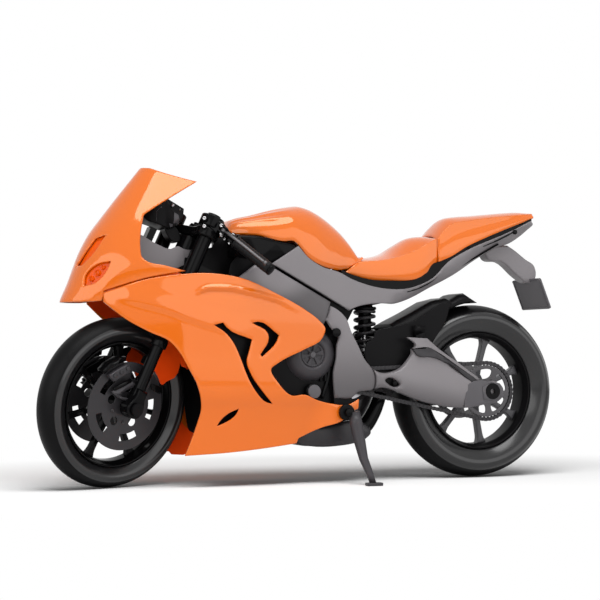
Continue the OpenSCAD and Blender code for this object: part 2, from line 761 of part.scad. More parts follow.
spar_outline = front([[176, 89.3], [131, 65.5], [137, 48], [170, 58], [204, 69], [204, 79], [184, 94]]);
module frame_spar() {
    upright(spar_y - spar_t, spar_y) polygon(spar_outline);
    hull() {
        translate([fx(204) - 6, spar_y - spar_t, 70]) cube([6, spar_t, 9]);
        head_frame() translate([gusset_from + 2, gusset_half, head_from + 4]) cube([10, 3, 16]);
    }
}
module frame_spar_left() { color("darkgray") frame_spar(); }
module frame_spar_right() { color("darkgray") mirror([0, 1, 0]) frame_spar(); }

plate_y = arm_y + arm_t + side;
plate_outline = [[131, 63.5], [118, 55], [116, 42], [108, 29], [pivot_x - 12, pivot_z + 8],
    [pivot_x - 12, pivot_z - 8], [pivot_x - 2, pivot_z - 9], [114, -3.5], [128, -3.5], [128.5, 18],
    [125.5, 34], [127, 42], [134, 50]];
stand_x = 120;
stand_z = -14;
stand_lug = [[128, -3.5], [128, -14], [stand_x + 3, stand_z - 6], [stand_x - 4, stand_z - 5],
    [114, -8], [114, -3.5]];
stand_pin_r = 2.5;
stand_t = 4;
module pivot_plate() {
    upright(plate_y, plate_y + plate_t) polygon(plate_outline);
    pivot_at() cross_bar(pivot_r, arm_y + side, plate_y + plate_t + 1);
}
module pivot_plate_left() {
    color("darkgray") {
        pivot_plate();
        upright(plate_y, plate_y + plate_t) polygon(stand_lug);
        translate([stand_x, 0, stand_z])
            cross_bar(stand_pin_r, plate_y, plate_y + plate_t + side + stand_t + 1);
    }
}
module pivot_plate_right() { color("darkgray") mirror([0, 1, 0]) pivot_plate(); }

stand_foot_x = 106;
stand_foot_y = plate_y + plate_t + side + stand_t / 2 + stand_out;
stand_eye_r = 6;
stand_leg_r = 2;
sole_t = 2;
module side_stand() {
    eye_y = plate_y + plate_t + side;
    color("darkgray") difference() {
        union() {
            translate([stand_x, 0, stand_z]) cross_bar(stand_eye_r, eye_y, eye_y + stand_t);
            hull() {
                translate([stand_x - 2, eye_y, stand_z - 6]) cube([5, stand_t, 3]);
                translate([stand_foot_x, stand_foot_y, sole_t - rear_tyre_r])
                    cylinder(r = stand_leg_r, h = 2);
            }
            translate([stand_foot_x - stand_foot_len / 2, stand_foot_y - 3, -rear_tyre_r])
                cube([stand_foot_len, 7, sole_t]);
        }
        translate([stand_x, 0, stand_z]) cross_bar(stand_pin_r + run, eye_y - 1, eye_y + stand_t + 1);
    }
}

engine_outline = front([[114, -20], [114, 46], [124, 58], [182, 58], [200, 46], [206, 32], [206, 6],
    [200, -10], [186, -24], [128, -24]]);
tower_half = eye_half + side + fork_lug_t;
tower_outline = [[118, 46], [130, 58], [116, 76], [99, 76], [99, 66], [108, 50]];
tower_arm_x = 112;
tower_arm_z = 70;
tower_arm_r = 2.5;
mount_r = 3;
radiator_x = 206;
function panel_at(x) = panel_y - (150 - x) * tan(panel_taper);
module engine_block() {
    tower_eye = shock_top_z;
    color("dimgray") difference() {
        union() {
            upright(-engine_half, engine_half) polygon(engine_outline);
            pivot_at() cross_bar(motor_r + boss_wall, -motor_len / 2, motor_len / 2);
            upright(-tower_half, tower_half) polygon(tower_outline);
            shock_lugs() polygon([[100, tower_eye + 5], [shock_foot_x - 3, tower_eye + 5],
                [shock_foot_x - 4, tower_eye], [shock_foot_x - 3, tower_eye - 2.6], [100, tower_eye - 2.6]]);
            translate([shock_foot_x, 0, tower_eye]) cross_bar(shock_pin_r, -tower_half, tower_half);
            translate([tower_arm_x, 0, tower_arm_z])
                cross_bar(tower_arm_r, -panel_at(tower_arm_x) + panel_t, panel_at(tower_arm_x) - panel_t);
            translate([fx(150), 0, 54]) cross_bar(mount_r, -spar_y + spar_t, spar_y - spar_t);
            translate([122, 0, 34]) cross_bar(mount_r, -plate_y, plate_y);
            translate([fx(165), 0, -14]) cross_bar(mount_r, -fairing_in(165, -14), fairing_in(165, -14));
        }
        pivot_at() cross_bar(motor_r, -engine_half - 1, engine_half + 1);
    }
}

cover_r = 15;
module engine_cover() {
    color("black") {
        translate([fx(144.5), 0, 27.5]) {
            cross_bar(cover_r, engine_half, engine_half + 5);
            cross_bar(cover_r - 3, engine_half + 5, engine_half + 7.5);
        }
        translate([fx(145), 0, 0]) cross_bar(4.5, engine_half, engine_half + 6);
    }
}

module radiator() {
    color("black") {
        translate([fx(radiator_x), -26, 8]) cube([7, 52, 38]);
        translate([fx(209.5), 0, 36]) cross_bar(2.2, -fairing_in(209.5, 36), fairing_in(209.5, 36));
    }
}

module rod(from, to, r) {
    d = to - from;
    translate(from) rotate([0, acos(d[2] / norm(d)), atan2(d[1], d[0])]) cylinder(r = r, h = norm(d));
}
muffler_outline = [[92, -25], [145, -24], [152, -28], [152, -36], [146, -39.5], [96, -38], [89, -34],
    [89, -28]];
muffler_half = 20;
pipe_route = [[98, -17, -31], [86, -31, -25], [74, -39.5, -12], [66, -44, 4]];
pipe_r = 4.5;
pipe_bead = 0.4;
silencer_end = [34, -45, 26];
silencer_r = 9;
module exhaust() {
    color("dimgray") {
        upright(-muffler_half, muffler_half) polygon(muffler_outline);
        for (i = [0 : 2]) {
            rod(pipe_route[i], pipe_route[i + 1], pipe_r);
            translate(pipe_route[i + 1]) sphere(r = pipe_r + pipe_bead);
        }
        rod(pipe_route[3], silencer_end, silencer_r);
    }
}

panel_outline = [[155, 105.5], [147, 97.2], [136, 91.2], [121, 88.2], [114, 85.7], [98, 81.8],
    [78, 81.2], [58, 82.7], [49, 87.7], [43.5, 94.2], [38, 96.3], [27, 100.8], [12.8, 108.7],
    [-16, 120.7], [-40, 129.2], [-46.2, 131.8], [-47.6, 129], [-44, 123.6], [-30, 112], [-19, 110], [2, 99],
    [22, 87], [43, 77.5], [66, 66.5], [75, 65], [89, 65], [111, 60.7], [114, 58.8], [176, 91.8]];
module seat_panel() {
    translate([150, panel_y, 0]) rotate([0, 0, panel_taper]) translate([-150, 0, 0])
        upright(-panel_t, 0) polygon(panel_outline);
}
module seat_panel_left() { color("darkgray") seat_panel(); }
module seat_panel_right() { color("darkgray") mirror([0, 1, 0]) seat_panel(); }

// Painted covers

section_steps = 14;
section_power = 0.75;
function bulge(v) = sign(v) * pow(abs(v), section_power);
function cover_row(x, w, top, low) = [for (i = [0 : section_steps]) let (a = -90 + 180 * i / section_steps)
    [x, w * bulge(sin(a)), low + (top - low) * bulge(max(0, cos(a)))]];
module cover(stations, width_knots, top_knots, low_knots, half) {
    rows = [for (less = [0, wall]) [for (x = stations)
        cover_row(fx(x), half * curve(width_knots, x) - less, curve(top_knots, x) - less,
            curve(low_knots, x))]];
    shell(rows[0], rows[1]);
}
function stations(from, to, count) = [for (i = [0 : count]) from + (to - from) * i / count];

tank_top = [[100, 98], [103, 104], [108, 111.5], [115, 119], [126, 127.5], [137, 133.5], [146, 136],
    [152, 135.8], [166, 133], [184, 128], [200, 123.6], [204, 118]];
tank_low = [[100, 92], [115, 89.8], [121, 89], [136, 92], [147, 98], [154, 106], [158, 109],
    [166, 108.6], [174, 110], [184, 112.4], [204, 113]];
tank_width = [[100, 0.62], [110, 0.68], [122, 0.8], [140, 0.96], [160, 1], [175, 0.95], [190, 0.8],
    [204, 0.55]];
// The tank's tail lies on the front of the seat along a sloping seam
seam_back = [84, 110.6];
seam_front = [122, 82.4];
module tank_cover() {
    color("orangered") difference() {
        cover(stations(100, 204, 20), tank_width, tank_top, tank_low, tank_half);
        upright(-tank_half, tank_half)
            polygon([seam_back, seam_front, [seam_front[0], seam_front[1] - 20],
                [seam_back[0], seam_front[1] - 20]]);
    }
}

seat_top = [[38, 116], [46, 116.8], [56, 115], [66, 109.5], [77, 103], [89, 100], [99, 99],
    [106, 97.5], [114, 91]];
seat_low = [[38, 108], [43, 95], [49, 88.5], [58, 83.5], [78, 82], [98, 82.6], [114, 86.5]];
seat_width = [[38, 0.9], [50, 1], [70, 1], [90, 0.98], [105, 0.95], [114, 0.92]];
module seat() {
    drop = [0, -seam];
    color("orangered") difference() {
        cover(stations(38 + seam, 114, 14), seat_width, seat_top, seat_low, seat_half);
        upright(-tank_half, tank_half)
            polygon([seam_back + drop, seam_front + drop,
                [seam_front[0], seam_back[1] + 20], seam_back + [0, 20]]);
    }
}

tail_end = -47.5;
tail_top = [[tail_end, 137.6], [-35, 138], [4, 134], [18, 132.6], [26, 130.5], [33, 124], [38, 117.6]];
tail_low = [[tail_end, 133], [-16, 121.5], [13, 109.5], [27, 101.6], [38, 97]];
tail_width = [[tail_end, 0.66], [-35, 0.75], [0, 0.93], [20, 1], [38, 1.05]];
module tail_cowl() {
    color("orangered") cover(stations(tail_end, 38, 14), tail_width, tail_top, tail_low, tail_half);
}

airbox_half = spar_y - spar_t;
airbox_outline = front([[202, 97], [202, 112.6], [184, 112], [174, 109.6], [166, 108.2],
    [157.5, 107.2], [156.4, 106.6], [177.4, 92.9], [181, 88], [190, 86], [190, 95.6]]);
channel_half = 18;
// The channel for the servo rises with the upper clamp, which drives its link
clamp_rise = upper_clamp_h - 130;
channel_outline = front([[174, 80], [230, 80], [230, 108], [186, 108], [174, 98]]);
module airbox_cover() {
    color("black") difference() {
        upright(-airbox_half, airbox_half) polygon(airbox_outline);
        translate([-clamp_rise * sin(caster), 0, clamp_rise * cos(caster)])
            upright(-channel_half, channel_half) polygon(channel_outline);
    }
}

fairing_width = [[98, 0.76], [112, 0.78], [130, 0.83], [137, 0.865], [160, 0.95], [190, 1], [215, 1],
    [240, 0.96], [255, 0.9], [268, 0.83], [280, 0.755], [300, 0.56]];
fairing_height = [[-46, 0.6], [-20, 0.77], [-10, 0.825], [0, 0.88], [30, 0.975], [55, 1], [70, 1],
    [88, 0.955]];
function fairing_at(x, z) = fairing_half * curve(fairing_width, x) * curve(fairing_height, z);
function fairing_in(x, z) = fairing_at(x, z) - wall - seam / 2;
fairing_outline = front([[297 - seam, 70.4 - seam], [268, 80 - seam], [246, 83.4 - seam], [226, 84],
    [202, 81], [174, 69.6], [152.6, 59], [141.8, 52], [136.4, 46], [139.5, 38.3], [152.6, 31.4],
    [174, 21.5], [179.5, 17.4], [174, 7.6], [163.3, -1.4], [152.6, -1], [142, -4.6], [131, -7.7],
    [112, -5], [113, -10], [120, -19], [136.5, -24.6], [158, -32], [160, -36], [202, -39.6],
    [235, -43], [240.8, -40.5], [234.6, -22.8], [230.4, -11.5], [232, 1.6], [238.4, 17.5],
    [246.7, 30.6], [253, 36.7], [266, 42.8], [282, 51.6], [297 - seam, 63.4]]);
long_slot = front([[222, 47.5], [216.5, 49.3], [195, 38.2], [198.3, 25.4], [196, 16.6], [190, 5],
    [178.4, -7.5], [194, 3], [203.4, 18.6], [211.8, 38]]);
hook_slot = front([[195, 50], [190, 50.5], [174.7, 41.6], [178.4, 34.2], [186.8, 26.4], [181.6, 42]]);
leaf_slot = front([[218.6, -22], [214, -14.6], [204.8, -10.6], [209, -18]]);
module side_fairing() {
    xs = stations(100, 300, 16);
    zs = stations(-45, 87, 12);
    difference() {
        intersection() {
            shell([for (z = zs) [for (x = xs) [fx(x), fairing_at(x, z), z]]],
                [for (z = zs) [for (x = xs) [fx(x), fairing_at(x, z) - wall, z]]]);
            upright(0, 2 * fairing_half) polygon(fairing_outline);
        }
        for (slot = [long_slot, hook_slot, leaf_slot]) upright(0, 2 * fairing_half) polygon(slot);
    }
}
module side_fairing_left() { color("orangered") side_fairing(); }
module side_fairing_right() { color("orangered") mirror([0, 1, 0]) side_fairing(); }

nose_tip = [[62, 319.5], [66, 319], [76, 315], [88, 311], [98, 307.4], [113, 299.8], [122, 292],
    [140, 277.6], [162, 259.8]];
nose_back = [[62, 236], [95, 236], [125, 232], [150, 221], [162, 214]];
nose_width = [[62, 0.9], [75, 0.98], [88, 1], [100, 0.95], [120, 0.83], [140, 0.66], [162, 0.45]];
nose_steps = 12;
function nose_row(z, inset) =
    let (back = fx(curve(nose_back, z)), reach = fx(curve(nose_tip, z)) - back - inset,
        w = nose_half * curve(nose_width, z) - inset)
    [for (i = [0 : nose_steps]) let (a = 90 * i / nose_steps) [back + reach * cos(a), w * sin(a), z]];
function nose_at(x, z) =
    let (back = fx(curve(nose_back, z)), t = (x - back) / (fx(curve(nose_tip, z)) - back))
    nose_half * curve(nose_width, z) * sqrt(1 - t^2);
nose_outline = front([[297, 64.5], [297, 70.9], [268, 80.4], [241, 86.6], [271, 93.5], [273.5, 99],
    [273.5, 119], [271, 123.5], [229.5, 149.5], [250, 155], [262, 160.5], [330, 160.5], [330, 64.5]]);
intake_slot = front([[295, 110], [304, 102], [311.5, 89], [303, 98.5]]);
lamp_slot = front([[292, 92], [301, 88], [309.5, 77], [303, 75.5], [296, 80]]);
module nose_skin(inset, t) {
    zs = stations(63, 161, 14);
    shell([for (z = zs) nose_row(z, inset)], [for (z = zs) nose_row(z, inset + t)]);
}
module nose_half_cowl() {
    difference() {
        intersection() {
            nose_skin(0, wall);
            upright(0, 2 * nose_half) polygon(nose_outline);
        }
        upright(0, 2 * nose_half) polygon(intake_slot);
        upright(0, 2 * nose_half) polygon(lamp_slot);
    }
}
module nose_cowl_left() { color("orangered") nose_half_cowl(); }
module nose_cowl_right() { color("orangered") mirror([0, 1, 0]) nose_half_cowl(); }

lamp_lip = 2;
module headlights() {
    color("gainsboro") each_side() intersection() {
        nose_skin(wall + 0.1, wall);
        upright(2, 2 * nose_half) offset(delta = lamp_lip) polygon(lamp_slot);
    }
}

stay_half = 5;
stay_len = 44;
stay_z = 100;
stay_h = 8;
stay_bar_r = 2.5;
stay_slack = 1.9;
dash_x = 25;
dash_half = 12;
dash_t = 9;
dash_h = 18;
dash_z = upper_clamp_h - 6;
post_t = 5;
function head_point(x, z) = steer_base + [x * cos(caster) - z * sin(caster), 0,
    x * sin(caster) + z * cos(caster)];
module nose_stay() {
    cross_x = stay_len + head_r - 4;
    cross_z = stay_z + stay_h / 2;
    end = head_point(cross_x, cross_z);
    reach = nose_at(end[0], end[2]) - wall - stay_slack;
    color("black") head_frame() difference() {
        union() {
            translate([0, -stay_half, stay_z]) cube([stay_len + head_r, 2 * stay_half, stay_h]);
            translate([dash_x + 2, -stay_half, stay_z]) cube([post_t, 2 * stay_half, dash_z - stay_z]);
            translate([cross_x, 0, cross_z]) cross_bar(stay_bar_r, -reach, reach);
        }
        translate([0, 0, stay_z - 1]) cylinder(r = head_r, h = stay_h + 2);
    }
}
module dash() {
    color("dimgray") head_frame() translate([dash_x, -dash_half, dash_z])
        cube([dash_t, 2 * dash_half, dash_h]);
}

tray_angle = 27.5;
tray_len = 48;
tray_t = 2;
tray_x = 26;
tray_z = 89;
bracket_half = 6;
bracket_outline = [[-8, 107.6], [-20, 100], [-38, 86.7], [-54, 86.7], [-55.5, 91], [-52.5, 95.5],
    [-30.4, 112], [-16, 112]];
module tray_at() { translate([tray_x, 0, tray_z]) rotate([0, tray_angle, 0]) children(); }
module plate_bracket() {
    wide = panel_at(tray_x) - panel_t;
    narrow = panel_at(tray_x - tray_len * cos(tray_angle)) - panel_t;
    color("black") {
        tray_at() linear_extrude(tray_t)
            polygon([[0, -wide], [0, wide], [-tray_len, narrow], [-tray_len, -narrow]]);
        upright(-bracket_half, bracket_half) polygon(bracket_outline);
    }
}
plate_half = 21;
plate_h = 25;
plate_lean = 22;
sheet_t = 1.5;
module number_plate() {
    color("darkgray") translate([-48, 0, 86]) rotate([0, plate_lean, 0])
        translate([-sheet_t, -plate_half, -plate_h]) cube([sheet_t, 2 * plate_half, plate_h]);
}

battery_y = [-14, 24];
battery_x = 133;
battery_z = [58, 83];
battery_gap = 0.65;
module battery() {
    servo_back = head_point(gusset_from - servo_len, horn_z - side);
    battery_len = servo_back[0] + (servo_back[2] - battery_z[1]) * tan(caster) - battery_gap - battery_x;
    color("royalblue") translate([battery_x, battery_y[0], battery_z[0]])
        cube([battery_len, battery_y[1] - battery_y[0], battery_z[1] - battery_z[0]]);
}
unit_half = 11;
unit_h = 9;
module control_unit() {
    color("black") tray_at() translate([-38, -unit_half, tray_t]) cube([32, 2 * unit_half, unit_h]);
}

frame_spar_left();
frame_spar_right();
steering_head();
pivot_plate_left();
pivot_plate_right();
seat_panel_left();
seat_panel_right();
tank_cover();
airbox_cover();
seat();
tail_cowl();
nose_cowl_left();
nose_cowl_right();
nose_stay();
headlights();
dash();
side_fairing_left();
side_fairing_right();
radiator();
engine_block();
engine_cover();
exhaust();
plate_bracket();
number_plate();
battery();
control_unit();
drive_motor();
steering_servo();
servo_horn();
steering_link();
lower_clamp();
upper_clamp();
fork_tubes();
handlebar_left();
handlebar_right();
grip_left();
grip_right();
clutch_lever();
brake_lever();
fork_sliders();
front_axle();
front_calipers();
front_fender();
front_wheel();
front_tyre();
front_discs();
swingarm_left();
swingarm_right();
swingarm_bridge();
hugger();
rear_axle();
drive_chain();
rear_wheel();
rear_tyre();
rear_hub_rings();
drive_sprocket();
shock_body();
shock_rod();
shock_spring();
side_stand();
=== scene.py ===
import math

import bmesh
import bpy
import numpy as np
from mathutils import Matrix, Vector, geometry


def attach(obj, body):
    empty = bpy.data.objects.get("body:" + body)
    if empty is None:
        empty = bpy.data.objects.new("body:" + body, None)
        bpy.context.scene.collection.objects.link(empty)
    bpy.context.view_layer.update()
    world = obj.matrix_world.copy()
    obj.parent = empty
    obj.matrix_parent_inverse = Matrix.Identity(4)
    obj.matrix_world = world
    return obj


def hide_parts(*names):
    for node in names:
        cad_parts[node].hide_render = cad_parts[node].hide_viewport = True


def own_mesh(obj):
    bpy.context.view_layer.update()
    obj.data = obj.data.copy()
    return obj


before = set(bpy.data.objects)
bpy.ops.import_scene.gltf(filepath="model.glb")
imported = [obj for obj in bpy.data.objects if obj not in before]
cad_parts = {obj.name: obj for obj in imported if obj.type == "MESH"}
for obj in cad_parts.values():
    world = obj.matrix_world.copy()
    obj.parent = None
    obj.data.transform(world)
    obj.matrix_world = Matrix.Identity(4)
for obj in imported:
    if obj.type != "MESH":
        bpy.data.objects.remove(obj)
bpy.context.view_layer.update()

MM = 0.001
CORNER_STEPS = 4
DOUBLES = 1e-7
RIM_SHARES = (0.12, 0.4, 1.0)


# Shapes are drawn in millimetres, in the part's own frame

def curve(knots, x):
    """Smooth curve through knots of (position, value)."""
    k = np.array(knots, float)
    x = np.clip(np.asarray(x, float), k[0, 0], k[-1, 0])
    slope = np.diff(k[:, 1]) / np.diff(k[:, 0])
    at = np.empty(len(k))
    at[0], at[-1] = slope[0], slope[-1]
    at[1:-1] = (k[2:, 1] - k[:-2, 1]) / (k[2:, 0] - k[:-2, 0])
    i = np.clip(np.searchsorted(k[:, 0], x, side="left") - 1, 0, len(k) - 2)
    step = k[i + 1, 0] - k[i, 0]
    t = (x - k[i, 0]) / step
    return ((2 * t**3 - 3 * t**2 + 1) * k[i, 1] + (t**3 - 2 * t**2 + t) * at[i] * step
            + (3 * t**2 - 2 * t**3) * k[i + 1, 1] + (t**3 - t**2) * at[i + 1] * step)


def smooth_step(low, high, x):
    t = np.clip((np.asarray(x, float) - low) / (high - low), 0, 1)
    return t * t * (3 - 2 * t)


def flowing(points, per=6, closed=True):
    """Smooth path through points; a point with a third value is a sharp corner."""
    at = [np.array(p[:2], float) for p in points]
    sharp = [len(p) > 2 for p in points]
    n = len(at)
    if not closed:
        sharp[0] = sharp[-1] = True
    path = []

    def tangent(i, towards):
        before, here, after = at[i - 1], at[i], at[(i + 1) % n]
        if sharp[i]:
            return towards / max(np.linalg.norm(towards), 1e-9)
        a, b = np.linalg.norm(here - before), np.linalg.norm(after - here)
        return ((here - before) / a * b + (after - here) / b * a) / (a + b)

    for i in range(n if closed else n - 1):
        j = (i + 1) % n
        span = at[j] - at[i]
        length = np.linalg.norm(span)
        a, b = tangent(i, span) * length, tangent(j, span) * length
        steps = 1 if sharp[i] and sharp[j] else per
        for s in range(steps):
            t = s / steps
            path.append((2 * t**3 - 3 * t**2 + 1) * at[i] + (t**3 - 2 * t**2 + t) * a
                        + (3 * t**2 - 2 * t**3) * at[j] + (t**3 - t**2) * b)
    if not closed:
        path.append(at[-1])
    return np.array(path)


def divided(path, longest):
    """Closed path with every side cut to at most that length."""
    out = []
    for a, b in zip(path, np.roll(path, -1, axis=0)):
        steps = max(1, int(math.ceil(np.linalg.norm(b - a) / longest)))
        out += [a + (b - a) * s / steps for s in range(steps)]
    return np.array(out)


def ring(r, cx=0, cy=0, steps=32):
    a = np.arange(steps) * 2 * np.pi / steps
    return np.stack([cx + r * np.cos(a), cy + r * np.sin(a)], axis=1)


def polar(r, degrees):
    a = math.radians(degrees)
    return r * math.cos(a), r * math.sin(a)


def rounded_box(x0, y0, x1, y1, r):
    quarter = 90 * np.arange(CORNER_STEPS + 1) / CORNER_STEPS
    out = []
    for cx, cy, start in ((x1 - r, y1 - r, 0), (x0 + r, y1 - r, 90), (x0 + r, y0 + r, 180), (x1 - r, y0 + r, 270)):
        a = np.radians(start + quarter)
        out += list(np.stack([cx + r * np.cos(a), cy + r * np.sin(a)], axis=1))
    return np.array(out)


def inside(loops, p):
    """Which points lie within the first loop and outside the others."""
    hit = np.zeros(len(p), bool)
    for loop in loops:
        for a, b in zip(loop, np.roll(loop, -1, axis=0)):
            if a[1] == b[1]:
                continue
            cross = (a[1] > p[:, 1]) != (b[1] > p[:, 1])
            hit ^= cross & (p[:, 0] < (b[0] - a[0]) * (p[:, 1] - a[1]) / (b[1] - a[1]) + a[0])
    return hit


def rim_distance(loops, p):
    """How far each point is from the nearest loop."""
    best = np.full(len(p), 1e9)
    for loop in loops:
        for a, b in zip(loop, np.roll(loop, -1, axis=0)):
            d = b - a
            t = np.clip(((p - a) @ d) / max(d @ d, 1e-12), 0, 1)
            best = np.minimum(best, np.linalg.norm(p - (a + t[:, None] * d), axis=1))
    return best


def sunk(d, lip):
    """How far a rounded edge drops at a distance from its rim."""
    if lip <= 0:
        return np.zeros(len(d))
    return lip - np.sqrt(np.maximum(lip**2 - np.maximum(lip - d, 0)**2, 0))


def sheet(rim, holes, front, back, place, step=None, lip=0.8, back_lip=None):
    """Plate inside a rim and around holes, between a front and a back depth, with rounded edges."""
    back_lip = lip if back_lip is None else back_lip
    loops = [np.asarray(rim, float)] + [np.asarray(h, float) for h in holes]
    if step:
        loops = [divided(loop, step) for loop in loops]
    points, sides = [], []
    for loop in loops:
        first = len(points)
        points += [tuple(p) for p in loop]
        sides += [(first + i, first + (i + 1) % len(loop)) for i in range(len(loop))]
    most = max(lip, back_lip)
    if most > 0:
        for share in RIM_SHARES:
            extra = []
            for loop in loops:
                along = np.roll(loop, -1, axis=0) - np.roll(loop, 1, axis=0)
                along /= np.maximum(np.linalg.norm(along, axis=1), 1e-9)[:, None]
                normal = np.stack([-along[:, 1], along[:, 0]], axis=1) * most * share
                extra += list(loop + normal) + list(loop - normal)
            extra = np.array(extra)
            keep = inside(loops, extra) & (rim_distance(loops, extra) > 0.93 * most * share)
            points += [tuple(p) for p in extra[keep]]
    if step:
        low, high = loops[0].min(axis=0), loops[0].max(axis=0)
        gx, gy = np.meshgrid(np.arange(low[0], high[0], step), np.arange(low[1], high[1], step))
        gx = gx + np.where(np.arange(gx.shape[0]) % 2, step / 2, 0)[:, None]
        grid = np.stack([gx.ravel(), gy.ravel()], axis=1)
        keep = inside(loops, grid) & (rim_distance(loops, grid) > most + 0.45 * step)
        points += [tuple(p) for p in grid[keep]]
    made = geometry.delaunay_2d_cdt([Vector(p) for p in points], sides, [], 0, 1e-5)
    flat = np.array([tuple(v) for v in made[0]])
    faces = np.array([f for f in made[2] if len(f) == 3])
    faces = faces[inside(loops, flat[faces].mean(axis=1))]
    used = np.unique(faces)
    renumber = -np.ones(len(flat), int)
    renumber[used] = np.arange(len(used))
    flat, faces = flat[used], renumber[faces]
    d = rim_distance(loops, flat)
    top = front(flat[:, 0], flat[:, 1]) if callable(front) else np.full(len(flat), float(front))
    low = back(flat[:, 0], flat[:, 1]) if callable(back) else np.full(len(flat), float(back))
    way = np.sign(np.mean(top - low))
    top = top - way * sunk(d, lip)
    low = low + way * sunk(d, back_lip)
    n = len(flat)
    verts = np.concatenate([np.column_stack([flat, top]), np.column_stack([flat, low])])
    seen = {}
    for f in faces:
        for a, b in ((f[0], f[1]), (f[1], f[2]), (f[2], f[0])):
            seen[(min(a, b), max(a, b))] = seen.get((min(a, b), max(a, b)), 0) + 1
    walls = []
    for f in faces:
        for a, b in ((f[0], f[1]), (f[1], f[2]), (f[2], f[0])):
            if seen[(min(a, b), max(a, b))] == 1:
                walls.append((b, a, a + n, b + n))
    solid = [tuple(f) for f in faces] + [tuple(f[::-1] + n) for f in faces] + walls
    return place(verts), solid


def lathe(profile, place, steps=96, closed=True):
    """Profile of (radius, height) turned about the depth axis of its place."""
    p = np.asarray(profile, float)
    a = np.radians(360.0 * np.arange(steps) / steps)
    verts = np.stack([np.outer(np.cos(a), p[:, 0]), np.outer(np.sin(a), p[:, 0]),
                      np.tile(p[:, 1], (steps, 1))], axis=2).reshape(-1, 3)
    m = len(p)
    faces = []
    for i in range(steps):
        j = (i + 1) % steps
        for k in range(m if closed else m - 1):
            l = (k + 1) % m
            faces.append((i * m + k, j * m + k, j * m + l, i * m + l))
    return place(verts), faces


def knob(r, from_h, to_h, place, cx=0, cy=0, soft=0.3, steps=24):
    """Round boss with softened edges, standing on the depth axis."""
    way = 1 if to_h > from_h else -1
    profile = [(0.0, from_h), (r - soft, from_h), (r - 0.3 * soft, from_h + way * 0.3 * soft),
               (r, from_h + way * soft),
               (r, to_h - way * soft), (r - 0.3 * soft, to_h - way * 0.3 * soft), (r - soft, to_h), (0.0, to_h)]
    shift = np.array([cx, cy, 0.0])
    return lathe(profile, lambda v: place(v + shift), steps, closed=False)


def sweep(path, r, sides=12):
    """Round bar along a path of points; r may be one radius or one for each point."""
    path = np.asarray(path, float)
    n = len(path)
    r = np.full(n, float(r)) if np.isscalar(r) else np.asarray(r, float)
    along = np.gradient(path, axis=0)
    along /= np.linalg.norm(along, axis=1)[:, None]
    side = np.cross(along[0], [0, 0, 1] if abs(along[0][2]) < 0.9 else [1, 0, 0])
    verts = []
    a = np.arange(sides) * 2 * np.pi / sides
    for i in range(n):
        side = side - along[i] * (side @ along[i])
        side /= np.linalg.norm(side)
        up = np.cross(along[i], side)
        verts.append(path[i] + r[i] * (np.outer(np.cos(a), side) + np.outer(np.sin(a), up)))
    verts = np.concatenate(verts)
    faces = [(i * sides + k, i * sides + (k + 1) % sides, (i + 1) * sides + (k + 1) % sides, (i + 1) * sides + k)
             for i in range(n - 1) for k in range(sides)]
    faces += [tuple(range(sides))[::-1], tuple(range((n - 1) * sides, n * sides))]
    return verts, faces


def loft(rows):
    """Skin over rows of points, closed at both ends; each row is a closed ring."""
    rows = [np.asarray(row, float) for row in rows]
    m = len(rows[0])
    faces = [(i * m + k, i * m + (k + 1) % m, (i + 1) * m + (k + 1) % m, (i + 1) * m + k)
             for i in range(len(rows) - 1) for k in range(m)]
    faces += [tuple(range(m))[::-1], tuple(range((len(rows) - 1) * m, len(rows) * m))]
    return np.concatenate(rows), faces


def arched(rows, wall):
    """Open skin over rows of points that runs from side to side, given a wall inwards."""
    rows = np.asarray(rows, float)
    n, m = rows.shape[:2]
    du, dv = np.gradient(rows, axis=0), np.gradient(rows, axis=1)
    normal = np.cross(du, dv)
    normal /= np.maximum(np.linalg.norm(normal, axis=2), 1e-9)[:, :, None]
    centre = rows.mean(axis=(0, 1)) - np.array([0, 0, 30])
    if np.mean(np.sum(normal * (rows - centre), axis=2)) < 0:
        normal = -normal
    inner = rows - normal * wall
    verts = np.concatenate([rows.reshape(-1, 3), inner.reshape(-1, 3)])
    k = n * m
    faces = []
    for i in range(n - 1):
        for j in range(m - 1):
            a, b, c, d = i * m + j, i * m + j + 1, (i + 1) * m + j + 1, (i + 1) * m + j
            faces += [(a, b, c, d), (a + k, d + k, c + k, b + k)]
    edge = (list(range(m)) + [i * m + m - 1 for i in range(1, n)]
            + [(n - 1) * m + j for j in range(m - 2, -1, -1)] + [i * m for i in range(n - 2, 0, -1)])
    for a, b in zip(edge, edge[1:] + edge[:1]):
        faces.append((b, a, a + k, b + k))
    return verts, faces


def mirrored(shape):
    """The same shape on the other side, in its own finish where it has one."""
    return shape[0] * np.array([1, -1, 1]), *shape[1:]


def both(shape):
    return [shape, mirrored(shape)]


# Places: a shape's own across, up and depth, set into the part's frame

def turn(axis, degrees):
    a = math.radians(degrees)
    c, s = math.cos(a), math.sin(a)
    return np.array({"x": [[1, 0, 0], [0, c, -s], [0, s, c]], "y": [[c, 0, s], [0, 1, 0], [-s, 0, c]],
                     "z": [[c, -s, 0], [s, c, 0], [0, 0, 1]]}[axis])


def placed(origin, turned):
    """Across is the frame's X, up its Z and depth its Y."""
    return lambda v: np.asarray(origin) + np.column_stack([v[:, 0], v[:, 2], v[:, 1]]) @ turned.T


def laid(origin, turned):
    """Across is the frame's X, up its Y and depth its Z."""
    return lambda v: np.asarray(origin) + v @ turned.T


def faced(v):
    """Across is the part's Y, up its Z and depth its X."""
    return np.column_stack([v[:, 2], v[:, 0], v[:, 1]])


def points_in(origin, turned, points):
    return np.asarray(origin) + np.asarray(points, float) @ turned.T


